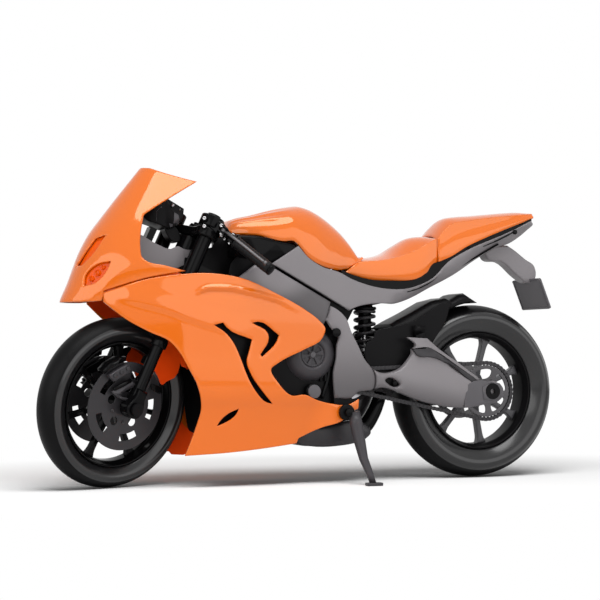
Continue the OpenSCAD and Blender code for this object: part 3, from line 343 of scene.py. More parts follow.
CASTER, STEERED, FORK_OFFSET, LEG_Y = 24, 22, 6, 22
PIVOT_X, PIVOT_Z = 110, 9
STAND_X, STAND_Z = 120, -14
upright = placed((0, 0, 0), np.eye(3))
straight = laid((0, 0, 0), np.eye(3))
steer_base = np.array([278.5187, 0, -8.3173])
head_turn = turn("y", -CASTER)
steer_turn = head_turn @ turn("z", STEERED)
front_axle = steer_base + steer_turn @ np.array([FORK_OFFSET, 0, 0])
fork = placed(front_axle, steer_turn)


BAR_H, BAR_SWEEP, BAR_DROP = 142, 35, 108


def leg_point(s, height):
    """Point on a fork leg's middle line; s is 1 on the left and -1 on the right."""
    return steer_base + steer_turn @ np.array([FORK_OFFSET, s * LEG_Y, height])


def bar_frame(s):
    turned = steer_turn @ turn("z", s * BAR_SWEEP) @ turn("x", -s * BAR_DROP)
    return leg_point(s, BAR_H), turned


# Finishes

class Wire:
    """A node's output, which can be reckoned with like a number."""

    def __init__(self, graph, node, socket):
        self.graph, self.node, self.socket = graph, node, socket

    def __getitem__(self, name):
        return Wire(self.graph, self.node, self.node.outputs[name])

    def _math(self, operation, a, b):
        return self.graph.add("ShaderNodeMath", {"operation": operation}, {0: a, 1: b})

    def __add__(self, other):
        return self._math("ADD", self, other)

    def __radd__(self, other):
        return self._math("ADD", other, self)

    def __sub__(self, other):
        return self._math("SUBTRACT", self, other)

    def __rsub__(self, other):
        return self._math("SUBTRACT", other, self)

    def __mul__(self, other):
        return self._math("MULTIPLY", self, other)

    def __rmul__(self, other):
        return self._math("MULTIPLY", other, self)


class Graph:
    """A node tree, whose nodes all come from one method."""

    def __init__(self, tree):
        self.tree = tree

    def add(self, kind, settings=None, sockets=None):
        node = self.tree.nodes.new(kind)
        for key, value in (settings or {}).items():
            setattr(node, key, value)
        for key, value in (sockets or {}).items():
            if isinstance(value, Wire):
                self.tree.links.new(value.socket, node.inputs[key])
            else:
                node.inputs[key].default_value = value
        first = next((s for s in node.outputs if s.enabled), None)
        return Wire(self, node, first)


MIX_SHARE, MIX_FROM, MIX_TO, MIX_OUT = 0, 6, 7, 2


def mixed(g, share, one, two):
    """Mix of two colours; the sockets' numbers are those of a colour mix."""
    made = g.add("ShaderNodeMix", {"data_type": "RGBA"}, {MIX_SHARE: share, MIX_FROM: one, MIX_TO: two})
    return made[MIX_OUT]


def finish(name, colour, other, patch, rough, rough_spread, grain, depth, painted_shade=None, **fixed):
    """Surface with patches of a second colour, uneven gloss and a fine grain; a painted shade may darken it along a
    direction.
    """
    material = bpy.data.materials.new(name)
    material.use_nodes = True
    tree = material.node_tree
    tree.nodes.clear()
    g = Graph(tree)
    where = g.add("ShaderNodeTexCoord")["Object"]
    cloud = g.add("ShaderNodeTexNoise", None, {"Vector": where, "Scale": patch, "Detail": 3.0})
    tint = mixed(g, cloud, (*colour, 1), (*other, 1))
    # Painted shade: the colour goes over to a dark colour along a direction
    if painted_shade:
        along, start, end, dark = painted_shade
        way = g.add("ShaderNodeVectorMath", {"operation": "DOT_PRODUCT"}, {0: where, 1: along})["Value"]
        share = g.add("ShaderNodeMapRange", {"interpolation_type": "SMOOTHSTEP"},
                      {"Value": way, "From Min": start, "From Max": end})
        tint = mixed(g, share, tint, (*dark, 1))
    speck = g.add("ShaderNodeTexNoise", None, {"Vector": where, "Scale": grain, "Detail": 2.0})
    gloss = rough + (cloud - 0.5) * rough_spread + (speck - 0.5) * (0.5 * rough_spread)
    bump = g.add("ShaderNodeBump", None, {"Strength": 1.0, "Distance": depth, "Height": speck})
    sockets = {"Base Color": tint, "Roughness": gloss, "Normal": bump}
    sockets.update({key.replace("_", " "): value for key, value in fixed.items()})
    surface = g.add("ShaderNodeBsdfPrincipled", None, sockets)
    g.add("ShaderNodeOutputMaterial", None, {"Surface": surface})
    return material


ORANGE = finish("orange_lacquer", (0.71, 0.138, 0.006), (0.675, 0.124, 0.005), 14, 0.07, 0.02, 700, 0.000012,
                Coat_Weight=0.55, Coat_Roughness=0.035, Specular_IOR_Level=0.5, Specular_Tint=(1, 0.72, 0.36, 1))
ORANGE_DEEP = finish("orange_recess", (0.78, 0.1, 0.002), (0.7, 0.075, 0.002), 30, 0.3, 0.06, 800, 0.00002,
                     Coat_Weight=0.3, Coat_Roughness=0.08, Specular_IOR_Level=0.0)
# A redder copy of the orange lacquer for the fender and the right fairing's inner face: a painted shade, standing in
# for the red cast the orange takes in shade
ORANGE_PAINTED_SHADE = finish("orange_painted_shade", (0.93, 0.075, 0.004), (0.86, 0.06, 0.003), 30, 0.4, 0.06, 800, 0.00002,
                       Specular_IOR_Level=0.1)


def satin_grey(name, painted_shade=None):
    return finish(name, (0.185, 0.172, 0.18), (0.165, 0.153, 0.16), 22, 0.38, 0.08, 2200, 0.00002, painted_shade,
                  Coat_Weight=0.1, Coat_Roughness=0.3, Specular_IOR_Level=0.35)


GREY = satin_grey("satin_grey")
# The spar, pivot plate and swing arm greys darken along a direction, towards an end or the lower edge: a painted
# shade standing in for light and reflection falling off there
SPAR_GREY_PAINTED_SHADE = satin_grey("satin_grey_spar_painted_shade", ((-0.507, 0, -0.862), -0.152, -0.134, (0.07, 0.064, 0.068)))
PLATE_GREY_PAINTED_SHADE = satin_grey("satin_grey_plate_painted_shade", ((0, 0, -1), -0.046, 0.004, (0.07, 0.064, 0.068)))
ARM_GREY_PAINTED_SHADE = satin_grey("satin_grey_arm_painted_shade", ((0.23, 0, -0.97), 0.002, 0.022, (0.086, 0.079, 0.084)))
GREY_MID = finish("mid_grey_casting", (0.088, 0.083, 0.09), (0.074, 0.07, 0.076), 24, 0.36, 0.08, 2000, 0.00002,
                  Specular_IOR_Level=0.3)
GREY_DARK = finish("dark_grey_moulding", (0.042, 0.039, 0.043), (0.034, 0.031, 0.035), 26, 0.4, 0.08, 2000, 0.00002,
                   Specular_IOR_Level=0.25)
BLACK = finish("gloss_black", (0.0034, 0.0033, 0.0036), (0.0024, 0.0023, 0.0026), 30, 0.16, 0.05, 1500, 0.00001,
               Coat_Weight=0.07, Coat_Roughness=0.05, Specular_IOR_Level=0.04)
BLACK_SATIN = finish("satin_black", (0.006, 0.0057, 0.0062), (0.0045, 0.0043, 0.0047), 34, 0.34, 0.08, 2200, 0.00002,
                     Specular_IOR_Level=0.06)
CHARCOAL = finish("charcoal_casting", (0.03, 0.028, 0.031), (0.022, 0.0205, 0.0225), 40, 0.34, 0.1, 1800, 0.00003,
                  Specular_IOR_Level=0.25)
TREAD = finish("tread_rubber", (0.0042, 0.0041, 0.0044), (0.0032, 0.0031, 0.0034), 36, 0.42, 0.08, 2600, 0.00002,
               Specular_IOR_Level=0.08)
SIDEWALL = finish("sidewall_rubber", (0.0085, 0.0083, 0.009), (0.0065, 0.0063, 0.0069), 36, 0.3, 0.06, 2600, 0.00001,
                  Coat_Weight=0.7, Coat_Roughness=0.16, Specular_IOR_Level=0.14)
GRIP = finish("grip_rubber", (0.007, 0.007, 0.0075), (0.005, 0.005, 0.0055), 60, 0.4, 0.1, 3000, 0.00004,
              Specular_IOR_Level=0.12)
STEEL = finish("bare_steel", (0.46, 0.455, 0.46), (0.36, 0.355, 0.36), 60, 0.28, 0.1, 1600, 0.00001, Metallic=1.0)
DARK_STEEL = finish("dark_steel", (0.1, 0.097, 0.1), (0.065, 0.063, 0.065), 80, 0.34, 0.12, 1600, 0.00002,
                    Metallic=1.0)
SPROCKET = finish("sprocket_steel", (0.085, 0.082, 0.086), (0.05, 0.048, 0.05), 60, 0.32, 0.1, 1600, 0.00001,
                  Metallic=1.0)
SPOKE_GREY = finish("wheel_grey", (0.066, 0.064, 0.07), (0.054, 0.052, 0.056), 30, 0.32, 0.08, 2000, 0.00002,
                    Specular_IOR_Level=0.35)
BLUE_WRAP = finish("battery_wrap", (0.04, 0.1, 0.36), (0.03, 0.08, 0.3), 40, 0.25, 0.06, 1200, 0.00002)
ALLOY = finish("motor_can", (0.36, 0.355, 0.37), (0.28, 0.275, 0.29), 50, 0.3, 0.1, 1500, 0.00001, Metallic=1.0)


def add_shape(b, shape):
    """The shape's faces in a bmesh, with corners that repeat left out."""
    verts = [b.verts.new(Vector(v) * MM) for v in shape[0]]
    outlines = (list(dict.fromkeys(verts[i] for i in f)) for f in shape[1])
    return [b.faces.new(corners) for corners in outlines if len(corners) > 2]


def settle(made, body, nodes):
    """A piece's modifiers become its plain mesh, and it rides on its body in place of the nodes."""
    bpy.context.view_layer.update()
    done = bpy.data.meshes.new_from_object(made.evaluated_get(bpy.context.evaluated_depsgraph_get()))
    made.modifiers.clear()
    made.data = done
    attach(made, body)
    if nodes:
        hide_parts(*nodes)


def piece(name, shapes, material, body, nodes=()):
    """One object from shapes; a shape may carry its own finish as a third value."""
    finishes = []
    mesh = bpy.data.meshes.new(name)
    b = bmesh.new()
    for shape in shapes:
        own = shape[2] if len(shape) > 2 else material
        if own not in finishes:
            finishes.append(own)
        for face in add_shape(b, shape):
            face.material_index = finishes.index(own)
            face.smooth = True
    bmesh.ops.remove_doubles(b, verts=b.verts, dist=DOUBLES)
    bmesh.ops.dissolve_degenerate(b, edges=b.edges, dist=DOUBLES)
    bmesh.ops.recalc_face_normals(b, faces=b.faces)
    b.to_mesh(mesh)
    b.free()
    for m in finishes:
        mesh.materials.append(m)
    made = bpy.data.objects.new(name, mesh)
    bpy.context.scene.collection.objects.link(made)
    weighted = made.modifiers.new("edges", "WEIGHTED_NORMAL")
    weighted.mode = "FACE_AREA"
    weighted.weight = 50
    settle(made, body, nodes)
    return made


def repaint(material, *nodes):
    """A node whose own shape is right takes the finish."""
    for node in nodes:
        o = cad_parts[node]
        o.data.materials.clear()
        o.data.materials.append(material)


# Camera, light and floor

camera = bpy.data.objects.new("camera", bpy.data.cameras.new("camera"))
bpy.context.scene.collection.objects.link(camera)
camera.data.lens = 92.07
camera.data.sensor_width = 36
camera.location = (0.56085, 1.04809, 0.02729)
camera.rotation_euler = (Vector((0.142, 0, 0.06759)) - camera.location).to_track_quat("-Z", "Y").to_euler()
bpy.context.scene.camera = camera
bpy.context.scene.view_settings.view_transform = "Standard"


def softbox(name, at, target, size, power):
    light = bpy.data.objects.new(name, bpy.data.lights.new(name, "AREA"))
    light.data.shape = "ELLIPSE"
    light.data.size, light.data.size_y = size
    light.data.energy = power
    light.location = at
    light.rotation_euler = (Vector(target) - Vector(at)).to_track_quat("-Z", "Y").to_euler()
    bpy.context.scene.collection.objects.link(light)
    return light


softbox("overhead", (0.2, 0.55, 1.05), (0.14, 0, 0.05), (1.1, 0.6), 9.6)
floor_lamp = softbox("floor_lamp", (0.44, 0.5, 1.08), (0.14, 0, -0.06), (1.1, 0.6), 7)
left_front = softbox("left_front", (1.29, 0.83, 0.4), (0.2, 0, 0.06), (1.5, 1.0), 8.0)
left_rear = softbox("left_rear", (-0.4, 1.24, 0.3), (0.14, 0, 0.06), (1.9, 0.95), 6.0)
right_fill = softbox("right_fill", (0.1, -1.1, 0.9), (0.14, 0, 0.05), (1.2, 0.8), 4)
right_fill.visible_glossy = False

WHITE, ROOM_LIGHT, SHADOW_LIFT = (1, 1, 1, 1), 0.2, 0.015
world = bpy.data.worlds.new("studio")
world.use_nodes = True
world.node_tree.nodes.clear()
bpy.context.scene.world = world
g = Graph(world.node_tree)
path = g.add("ShaderNodeLightPath")
mirror = g.add("ShaderNodeMath", {"operation": "MAXIMUM"}, {0: path["Is Glossy Ray"], 1: path["Is Transmission Ray"]})
seen = g.add("ShaderNodeMath", {"operation": "MAXIMUM"}, {0: path["Is Camera Ray"], 1: mirror})
dim = g.add("ShaderNodeBackground", None, {"Color": WHITE, "Strength": ROOM_LIGHT})
white = g.add("ShaderNodeBackground", None, {"Color": WHITE, "Strength": 1.0})
sky = g.add("ShaderNodeMixShader", None, {0: seen, 1: dim, 2: white})
g.add("ShaderNodeOutputWorld", None, {"Surface": sky})

FLOOR, FLOOR_GAP = -65.5, 0.0002
floor_mesh = bpy.data.meshes.new("floor")
b = bmesh.new()
bmesh.ops.create_grid(b, x_segments=1, y_segments=1, size=6)
b.to_mesh(floor_mesh)
b.free()
floor = bpy.data.objects.new("floor", floor_mesh)
floor.location = (0.14, 0, FLOOR * MM - FLOOR_GAP)
bpy.context.scene.collection.objects.link(floor)
paper = bpy.data.materials.new("white_paper")
paper.use_nodes = True
paper.node_tree.nodes.clear()
g = Graph(paper.node_tree)
path = g.add("ShaderNodeLightPath")
spot = g.add("ShaderNodeSeparateXYZ", None, {0: g.add("ShaderNodeTexCoord")["Object"]})
across, deep = spot["X"] * 3.4, spot["Y"] * 5.5 + 0.3
near = g.add("ShaderNodeMath", {"operation": "SQRT"}, {0: across * across + deep * deep})
away = g.add("ShaderNodeMapRange", {"interpolation_type": "SMOOTHSTEP"}, {0: near, 1: 0.8, 2: 1.5, 3: 0.0, 4: 1.0})
matt = g.add("ShaderNodeBsdfDiffuse", None, {"Color": (0.95, 0.95, 0.95, 1)})
glow = g.add("ShaderNodeEmission", None, {"Color": WHITE, "Strength": 1.0})
faint = g.add("ShaderNodeEmission", None, {"Color": WHITE, "Strength": SHADOW_LIFT})
lifted = g.add("ShaderNodeAddShader", None, {0: matt, 1: faint})
shown = g.add("ShaderNodeMixShader", None, {0: away, 1: lifted, 2: glow})
camera_only = g.add("ShaderNodeMixShader", None, {0: path["Is Camera Ray"], 1: matt, 2: shown})
g.add("ShaderNodeOutputMaterial", None, {"Surface": camera_only})
floor_mesh.materials.append(paper)
# The side lamps leave the floor out, so that the shadow under the bike stays dark; the floor lamp lights nothing else
spared = bpy.data.collections.new("floor_only")
spared.objects.link(floor)
spared.collection_objects[0].light_linking.link_state = "EXCLUDE"
for side_lamp in (left_front, left_rear, right_fill):
    side_lamp.light_linking.receiver_collection = spared
lit = bpy.data.collections.new("floor_lit")
lit.objects.link(floor)
floor_lamp.light_linking.receiver_collection = lit


# Orange bodywork

WALL = 1.7
FAIRING_HALF = 41.5
fairing_width = [(98, 0.76), (112, 0.78), (130, 0.83), (137, 0.865), (160, 0.95), (190, 1), (215, 1), (240, 0.96),
                 (255, 0.9), (268, 0.83), (280, 0.755), (300, 0.56)]
fairing_height = [(-46, 0.672), (-20, 0.8), (-10, 0.868), (-4, 0.935), (1, 0.968), (6, 0.979), (30, 0.986), (55, 1),
                  (70, 1), (88, 0.955)]
panel_crease = [(205, 40.5), (222, 46), (241.4, 52.2), (251, 56), (267.3, 60.6), (299, 68)]
spear_top = [(158, 58), (166, 61.8), (175.6, 65.6), (196.5, 70.7), (212, 73.4), (226.4, 73.1), (233.5, 70.6),
             (237, 69.4)]
spear_low = [(158, 58), (166, 60.9), (181, 63), (198.6, 65.1), (212, 66.5), (226.4, 67.8), (233.5, 69), (237, 69.4)]


def fairing_at(x, z):
    """Depth of the left fairing: bulged, creased, with a long hollow above and drawn in at the rear tip."""
    y = FAIRING_HALF * curve(fairing_width, x) * curve(fairing_height, z)
    crease = curve(panel_crease, x)
    over = z - crease
    fold = smooth_step(200, 232, x)
    y = y - 0.8 * smooth_step(1, -2.4, over) * fold * smooth_step(292, 268, x)
    y = y - 0.006 * np.clip(over, 0, 14)**2 * smooth_step(180, 250, x)
    top, low = curve(spear_top, x), curve(spear_low, x)
    above = z - top
    ends = np.clip((top - low) / 4, 0, 1)
    lip = smooth_step(3, 0, above) * smooth_step(-1.7, -0.1, above)
    hollow = smooth_step(0.2, -1.5, above) * np.clip((z - low) / np.maximum(top - low, 0.5), 0, 1)
    y = y + (1.7 * lip - hollow) * ends
    tip = smooth_step(150, 126, x) * smooth_step(8, -2, z)
    return y + (33 - y) * tip


def behind(by):
    """Surface that lies behind the fairing's by that depth."""
    return lambda x, z: fairing_at(x, z) - by


fairing_rim = flowing([(296.4, 69.8, 1), (268, 79.4), (246, 82.8), (226, 84), (202, 81), (174, 69.6), (152.6, 59),
                       (141.8, 52), (136.4, 46), (139.5, 38.3), (152.6, 31.4), (174, 21.5), (179.5, 17.4),
                       (174, 7.6), (163.3, -1.4), (152.6, -1), (142, -5), (131, -7.6), (117, -8.4), (109, -4.6, 1),
                       (109.6, -11.6, 1), (115, -14), (122, -20), (136.5, -24.6), (154.4, -32.4, 1),
                       (155.6, -35.9, 1), (176, -38.4), (207.7, -41.4), (238.4, -43, 1), (235.6, -35), (231.6, -22),
                       (229.2, -10), (230.6, -2.5), (234, 7.8), (239.2, 17.4), (246.7, 30), (253, 36.7), (266, 42.8),
                       (282, 51.6), (296.4, 63.4, 1)], 5)
long_slot = flowing([(222, 48, 1), (215.5, 49.5, 1), (212.9, 46.2), (194.2, 37.9, 1), (196.3, 30), (198, 22.2),
                     (195.6, 15.4), (186, 1.8), (177.2, -7.2, 1), (182.6, -5.8), (190.4, 1), (197.4, 12.2),
                     (202.3, 24.2), (208, 35.9), (212.7, 41.7)], 4)
hook_slot = flowing([(194.2, 49.6, 1), (189.5, 50.4), (173.8, 41.1, 1), (175.3, 37), (186.4, 25.9, 1),
                     (187.8, 27.4, 1), (181.6, 39), (182.2, 42)], 4)
leaf_slot = flowing([(216.7, -22.4, 1), (215.6, -20), (209, -13.5), (202, -10.4, 1), (203.6, -14.2), (209.5, -19.1)],
                    5)
left_fairing = sheet(fairing_rim, [long_slot, hook_slot, leaf_slot], fairing_at, behind(WALL),
                     upright, step=1.4, lip=0.8, back_lip=0.3)
piece("left_fairing", [left_fairing], ORANGE, "chassis", ["side_fairing_left"])
inside_rim = flowing([(229, 6), (236, 21), (246, 34), (255, 41), (260, 48), (258, 64), (246, 72), (226, 72),
                      (221, 40), (221, 8)], 4)
film = sheet(inside_rim, [], behind(1.65), behind(2), upright, step=4, lip=0.1)
# Skin on the right fairing's inner face, drawn in the redder copy of the orange: a painted shade
front_inside = flowing([(295, 65.4), (281, 53.4), (265, 44.4), (252, 38.4), (245, 31), (237.6, 18), (232.2, 8),
                        (228.8, -2.5), (227.6, -10), (230, -22), (234, -36), (236, -41.4), (208, -39.4), (207, -28),
                        (220, -26), (226, -16), (226, 10), (227, 40), (228, 74), (246, 81.4), (268, 78),
                        (292, 70.4)], 4)
skin = sheet(front_inside, [], behind(1.6), behind(1.85), upright, step=4, lip=0.1)
piece("right_fairing", [mirrored(left_fairing), mirrored(skin) + (ORANGE_PAINTED_SHADE,), mirrored(film) + (BLACK_SATIN,)],
      ORANGE, "chassis", ["side_fairing_right"])

NOSE_HALF = 37.5
nose_tip = [(62, 321.6), (66, 320.6), (76, 316.2), (88, 311.8), (98, 308), (111, 301.2), (122, 293.2), (138, 281),
            (162, 262)]
nose_crease = [(240, 95), (272.3, 90.6), (290, 83.5), (304, 75.6), (315.5, 70.5), (325, 66)]
nose_back = [(62, 236), (95, 236), (125, 232), (150, 221), (162, 214)]
nose_width = [(62, 0.9), (75, 0.98), (88, 1), (100, 0.95), (120, 0.83), (140, 0.66), (162, 0.45)]
NOSE_SCALE = 36.0


def nose_angle(x, z):
    back = curve(nose_back, z)
    return np.arccos(np.clip((x - back) / (curve(nose_tip, z) - back), -1, 1)) * NOSE_SCALE


def nose(v):
    """Across is the angle round the nose, up is height and depth goes outwards."""
    a, z, d = v[:, 0] / NOSE_SCALE, v[:, 1], v[:, 2]
    back = curve(nose_back, z)
    reach = curve(nose_tip, z) - back
    under = np.clip(curve(nose_crease, back + reach * np.cos(a)) - z, 0, 14)
    d = d - 0.1 * under * smooth_step(0.35, 0.8, np.abs(np.sin(a)))
    reach, half = reach + d, NOSE_HALF * curve(nose_width, z) + d
    return np.column_stack([back + reach * np.cos(a), half * np.sin(a), z])


def round_nose(points):
    """Outline in X and Z, as angle and height on the left of the nose."""
    p = np.asarray(points, float)
    return np.column_stack([nose_angle(p[:, 0], p[:, 1]), p[:, 1]])


nose_side = np.concatenate([
    flowing([(260, 159), (255, 156.8), (241.5, 152.4), (228.6, 149.2)], 5, closed=False),
    flowing([(228.6, 149.2), (251.6, 135.2), (264.6, 126.8), (268.4, 123.8), (269.4, 120.6), (272.4, 98.6), (272, 95),
             (270, 92.6), (256, 88.8), (241.4, 85.2)], 5, closed=False)[1:],
    flowing([(241.4, 85.2), (268, 80.4), (297, 71.2)], 6, closed=False)[1:],
    np.array([(297.2, 67.5), (298.5, 64.4), (304, 63.8), (312, 63.6)])])
nose_left = round_nose(nose_side)
nose_rim = np.concatenate([[(0.0, 159.8)], nose_left, [(0.0, 63.4)], nose_left[::-1] * np.array([-1, 1])])
intake = round_nose(flowing([(293.4, 110, 1), (299.6, 107.6, 1), (306.4, 97.4), (311, 88.8, 1), (308.6, 89, 1),
                             (302.6, 96)], 5))
lamp = round_nose(flowing([(308.8, 74.6, 1), (307.4, 82), (299.7, 89.6), (292, 91.4, 1), (295, 84.4), (303, 76)], 6))
other_side = np.array([-1.0, 1.0])
piece("nose_cowl", [sheet(nose_rim, [intake, lamp, intake * other_side, lamp * other_side], 0.0, -WALL, nose,
                          step=2.6,
                          lip=0.8, back_lip=0.3)], ORANGE, "chassis",
      ["nose_cowl_left", "nose_cowl_right"])


def grown(loop, by):
    middle = loop.mean(axis=0)
    away = loop - middle
    return middle + away * (1 + by / np.linalg.norm(away, axis=1).mean())


recesses = [sheet(grown(loop, 2.2), [], -2.6, -3.8, nose, step=2.2, lip=0.3) for loop in (intake, lamp)]
lenses = []
for x, z, r in ((301.2, 83.4, 2.3), (304.9, 79.4, 1.9), (297.6, 87.2, 1.5)):
    spot = nose(np.array([[float(nose_angle(x, z)), z, -2.4]]))[0]
    out = nose(np.array([[float(nose_angle(x, z)), z, 1.0]]))[0] - spot
    out /= np.linalg.norm(out)
    across = np.cross([0, 0, 1], out)
    across /= np.linalg.norm(across)
    facing = placed(spot, np.column_stack([across, out, np.cross(across, out)]))
    lens = [(0, 0.9), (0.5 * r, 0.75), (0.8 * r, 0.4), (0.86 * r, 0.3), (0.9 * r, 1.0), (r, 1.0), (1.05 * r, -0.8)]
    lenses.append(lathe(lens, facing, 20, closed=False))
lamp_parts = recesses + lenses
piece("lamps", lamp_parts + [mirrored(s) for s in lamp_parts], ORANGE_DEEP, "chassis", ["headlights"])

tank_top = [(98, 97.4), (100, 98), (103, 104), (108, 111.5), (115, 119), (126, 127.5), (137, 133.5), (146, 136),
            (152, 135.8), (166, 133), (184, 128), (200, 123.6), (204, 118)]
tank_low = [(98, 92.4), (100, 92), (115, 89.8), (121, 89), (136, 92), (147, 98), (154, 106), (158, 109),
            (166, 108.6), (174, 110), (184, 112.4), (204, 113)]
tank_width = [(98, 0.6), (110, 0.68), (122, 0.8), (140, 0.96), (160, 1), (175, 0.95), (190, 0.8), (204, 0.55)]
TANK_HALF = 28


def seat_seam(x):
    """Height of the sloping seam between tank and seat."""
    return 110.6 - (x - 84) * (28.2 / 38)


def swelled(v):
    return np.sign(v) * np.abs(v)**0.75


def tank_row(x):
    a = np.radians(np.linspace(-90, 90, 61))
    half, top, low = TANK_HALF * curve(tank_width, x), curve(tank_top, x), curve(tank_low, x)
    ribs = sum(h * np.exp(-((np.degrees(np.abs(a)) - at) / 5.5)**2) for at, h in ((34, 1.3), (52, 1.1), (17, 0.8)))
    ribs = ribs * smooth_step(152, 178, x) * smooth_step(204, 198, x)
    grow = 1 + ribs / 30
    y = half * swelled(np.sin(a)) * grow
    z = low + (top - low) * swelled(np.maximum(np.cos(a), 0)) * grow
    z = np.maximum(z, seat_seam(x) + 0.3) if x < 116 else z
    return np.column_stack([np.full(len(a), x), y, z])


tank_rows = [tank_row(x) for x in np.concatenate([np.linspace(99.5, 198, 60), np.linspace(199, 204, 7)])]
piece("tank", [arched(tank_rows, 1.6)], ORANGE, "chassis", ["tank_cover"])

seat_top = [(38, 116), (46, 116.8), (56, 115), (66, 109.5), (77, 103), (89, 100), (99, 99), (106, 97.5), (114, 91)]
seat_low = [(38, 97.4), (43, 93.4), (49, 88.5), (58, 83.5), (78, 82), (98, 82.6), (114, 86.5)]
seat_crease = [(38, 114.6), (43, 113), (57, 105.6), (70.5, 100.3), (86.4, 97), (99, 96), (108, 94), (114, 89.6)]


def saddle_row(x, half, top, crease, low):
    """Side wall, rolled edge and crowned top of the seat."""
    left = [(half * 0.985, low), (half, low + 0.3 * (crease - low)), (half * 0.99, low + 0.7 * (crease - low)),
            (half * 0.965, crease - 0.5), (half * 0.95, crease - 0.1), (half * 0.925, crease + 0.05)]
    crown = [(half * 0.925 * t, crease + 0.05 + (top - crease - 0.05) * (1 - t**2.2))
             for t in np.linspace(1, 0, 12)[1:]]
    side = np.array(left + crown)
    other = side[:-1][::-1] * np.array([-1, 1])
    row = np.concatenate([side, other])
    return np.column_stack([np.full(len(row), x), row])


def seat_row(x):
    half = 22 * float(curve([(38, 0.9), (50, 1), (70, 1), (90, 0.98), (105, 0.95), (114, 0.9)], x))
    row = saddle_row(x, half, float(curve(seat_top, x)), float(curve(seat_crease, x)), float(curve(seat_low, x)))
    row[:, 2] = np.minimum(row[:, 2], seat_seam(x) - 0.5)
    return row


seat_rows = [seat_row(x) for x in np.linspace(38.5, 113.4, 46)]
piece("saddle", [arched(seat_rows, 1.6)], ORANGE, "chassis", ["seat"])

tail_top = [(-47.5, 137.6), (-35, 138), (4, 134), (18, 132.6), (26, 130.5), (33, 124), (38, 117.6)]
tail_low = [(-47.5, 133), (-16, 121.5), (13, 109.5), (27, 101.6), (38, 97)]
tail_width = [(-47.5, 0.66), (-35, 0.75), (0, 0.93), (20, 1), (38, 1.05)]
tail_shoulder = [(-47.5, 136.4), (-40, 135.6), (-8, 131.8), (14, 128.5), (24, 126.4), (32, 120.5), (38, 113.5)]


def tail_row(x):
    half = 20 * float(curve(tail_width, x))
    top, low, shoulder = (float(curve(k, x)) for k in (tail_top, tail_low, tail_shoulder))
    scoop = 0.07 * float(smooth_step(-50, -10, x) * smooth_step(40, 24, x))
    rise = shoulder - low
    left = [(half, low), (half * (1.0 - 0.4 * scoop), low + 0.3 * rise), (half * (0.965 - scoop), low + 0.55 * rise),
            (half * (0.9 - scoop), low + 0.7 * rise), (half * 0.865, shoulder - 0.4), (half * 0.83, shoulder + 0.2)]
    crown = [(half * 0.83 * t, shoulder + 0.2 + (top - shoulder - 0.2) * (1 - t**2.4))
             for t in np.linspace(1, 0, 10)[1:]]
    side = np.array(left + crown)
    row = np.concatenate([side, side[:-1][::-1] * np.array([-1, 1])])
    return np.column_stack([np.full(len(row), x), row])


tail_rows = [tail_row(x) for x in np.concatenate([[-47.5, -47], np.linspace(-46, 38.4, 46)])]
piece("tail", [arched(tail_rows, 1.5)], ORANGE, "chassis", ["tail_cowl"])

# Wheels

BEAD_R = 44.4


def crown_of(centre_r, radius, spread):
    """Half of a tyre's round crown, from its shoulder to the middle."""
    return [(centre_r + radius * math.cos(a), radius * math.sin(a)) for a in np.radians(np.linspace(spread, 0, 14))]


def tyre_of(side, crown, place):
    """Crown with a smooth tread, and a rounded sidewall on each side."""
    whole = crown + [(r, -h) for r, h in crown[-2::-1]]
    wall = side + [crown[0]]
    other = [(r, -h) for r, h in wall]
    inner = [side[0], (side[0][0], -side[0][1])]
    return [lathe(whole, place, 128, closed=False), lathe(wall, place, 128, closed=False) + (SIDEWALL,),
            lathe(other[::-1], place, 128, closed=False) + (SIDEWALL,), lathe(inner, place, 128, closed=False)]


front_half = [(BEAD_R, 7.2), (44.7, 7.9), (46, 8.8), (47.4, 9.75), (48.8, 10.65), (50.2, 11.35), (51.4, 11.6),
              (52.6, 11.4), (53.6, 10.95)]
front_rubber = tyre_of(front_half, crown_of(47.5, 12.5, 56), fork)
piece("front_tyre_rubber", front_rubber, TREAD, "front_wheel_set", ["front_tyre"])


def cast_wheel(place, half, hub_from, hub_to, hub_r, axle_r, spokes, first, spoke_half, spoke_w):
    """Rim with rolled flanges, tapered spokes and a hub."""
    flange = [(BEAD_R, half), (43.2, half + 0.2), (42.8, half - 0.6), (42.4, half - 1.8), (41.2, half - 3.4),
              (40.4, half - 5)]
    rim = flange + [(r, -h) for r, h in flange[::-1]]
    shapes = [lathe(rim, place, 112)]
    hub = [(axle_r, hub_from), (hub_r - 1.6, hub_from), (hub_r - 1.2, hub_from + 0.4),
           (hub_r - 1.2, -spoke_half - 2.2), (hub_r, -spoke_half - 0.6), (hub_r, spoke_half + 0.6),
           (hub_r - 1.2, spoke_half + 2.2), (hub_r - 1.2, hub_to - 0.4), (hub_r - 1.6, hub_to), (axle_r, hub_to)]
    shapes.append(lathe(hub, place, 48))
    for i in range(spokes):
        a = math.radians(first + 360 * i / spokes)
        spin = np.array([[math.cos(a), -math.sin(a)], [math.sin(a), math.cos(a)]])
        blade = flowing([(hub_r - 1.4, -spoke_w * 0.75, 1), (hub_r + 5, -spoke_w * 0.56), (30, -spoke_w * 0.44),
                         (37, -spoke_w * 0.56), (41.2, -spoke_w * 0.95, 1), (41.2, spoke_w * 0.95, 1),
                         (37, spoke_w * 0.56), (30, spoke_w * 0.44), (hub_r + 5, spoke_w * 0.56),
                         (hub_r - 1.4, spoke_w * 0.75, 1)], 4)
        shapes.append(sheet(blade @ spin.T, [], spoke_half, -spoke_half, place, lip=0.9))
    return shapes


piece("front_rim", cast_wheel(fork, 8.6, -14, 14, 9, 2.6, 7, 16, 2.8, 4.2), BLACK, "front_wheel_set",
      ["front_wheel"])


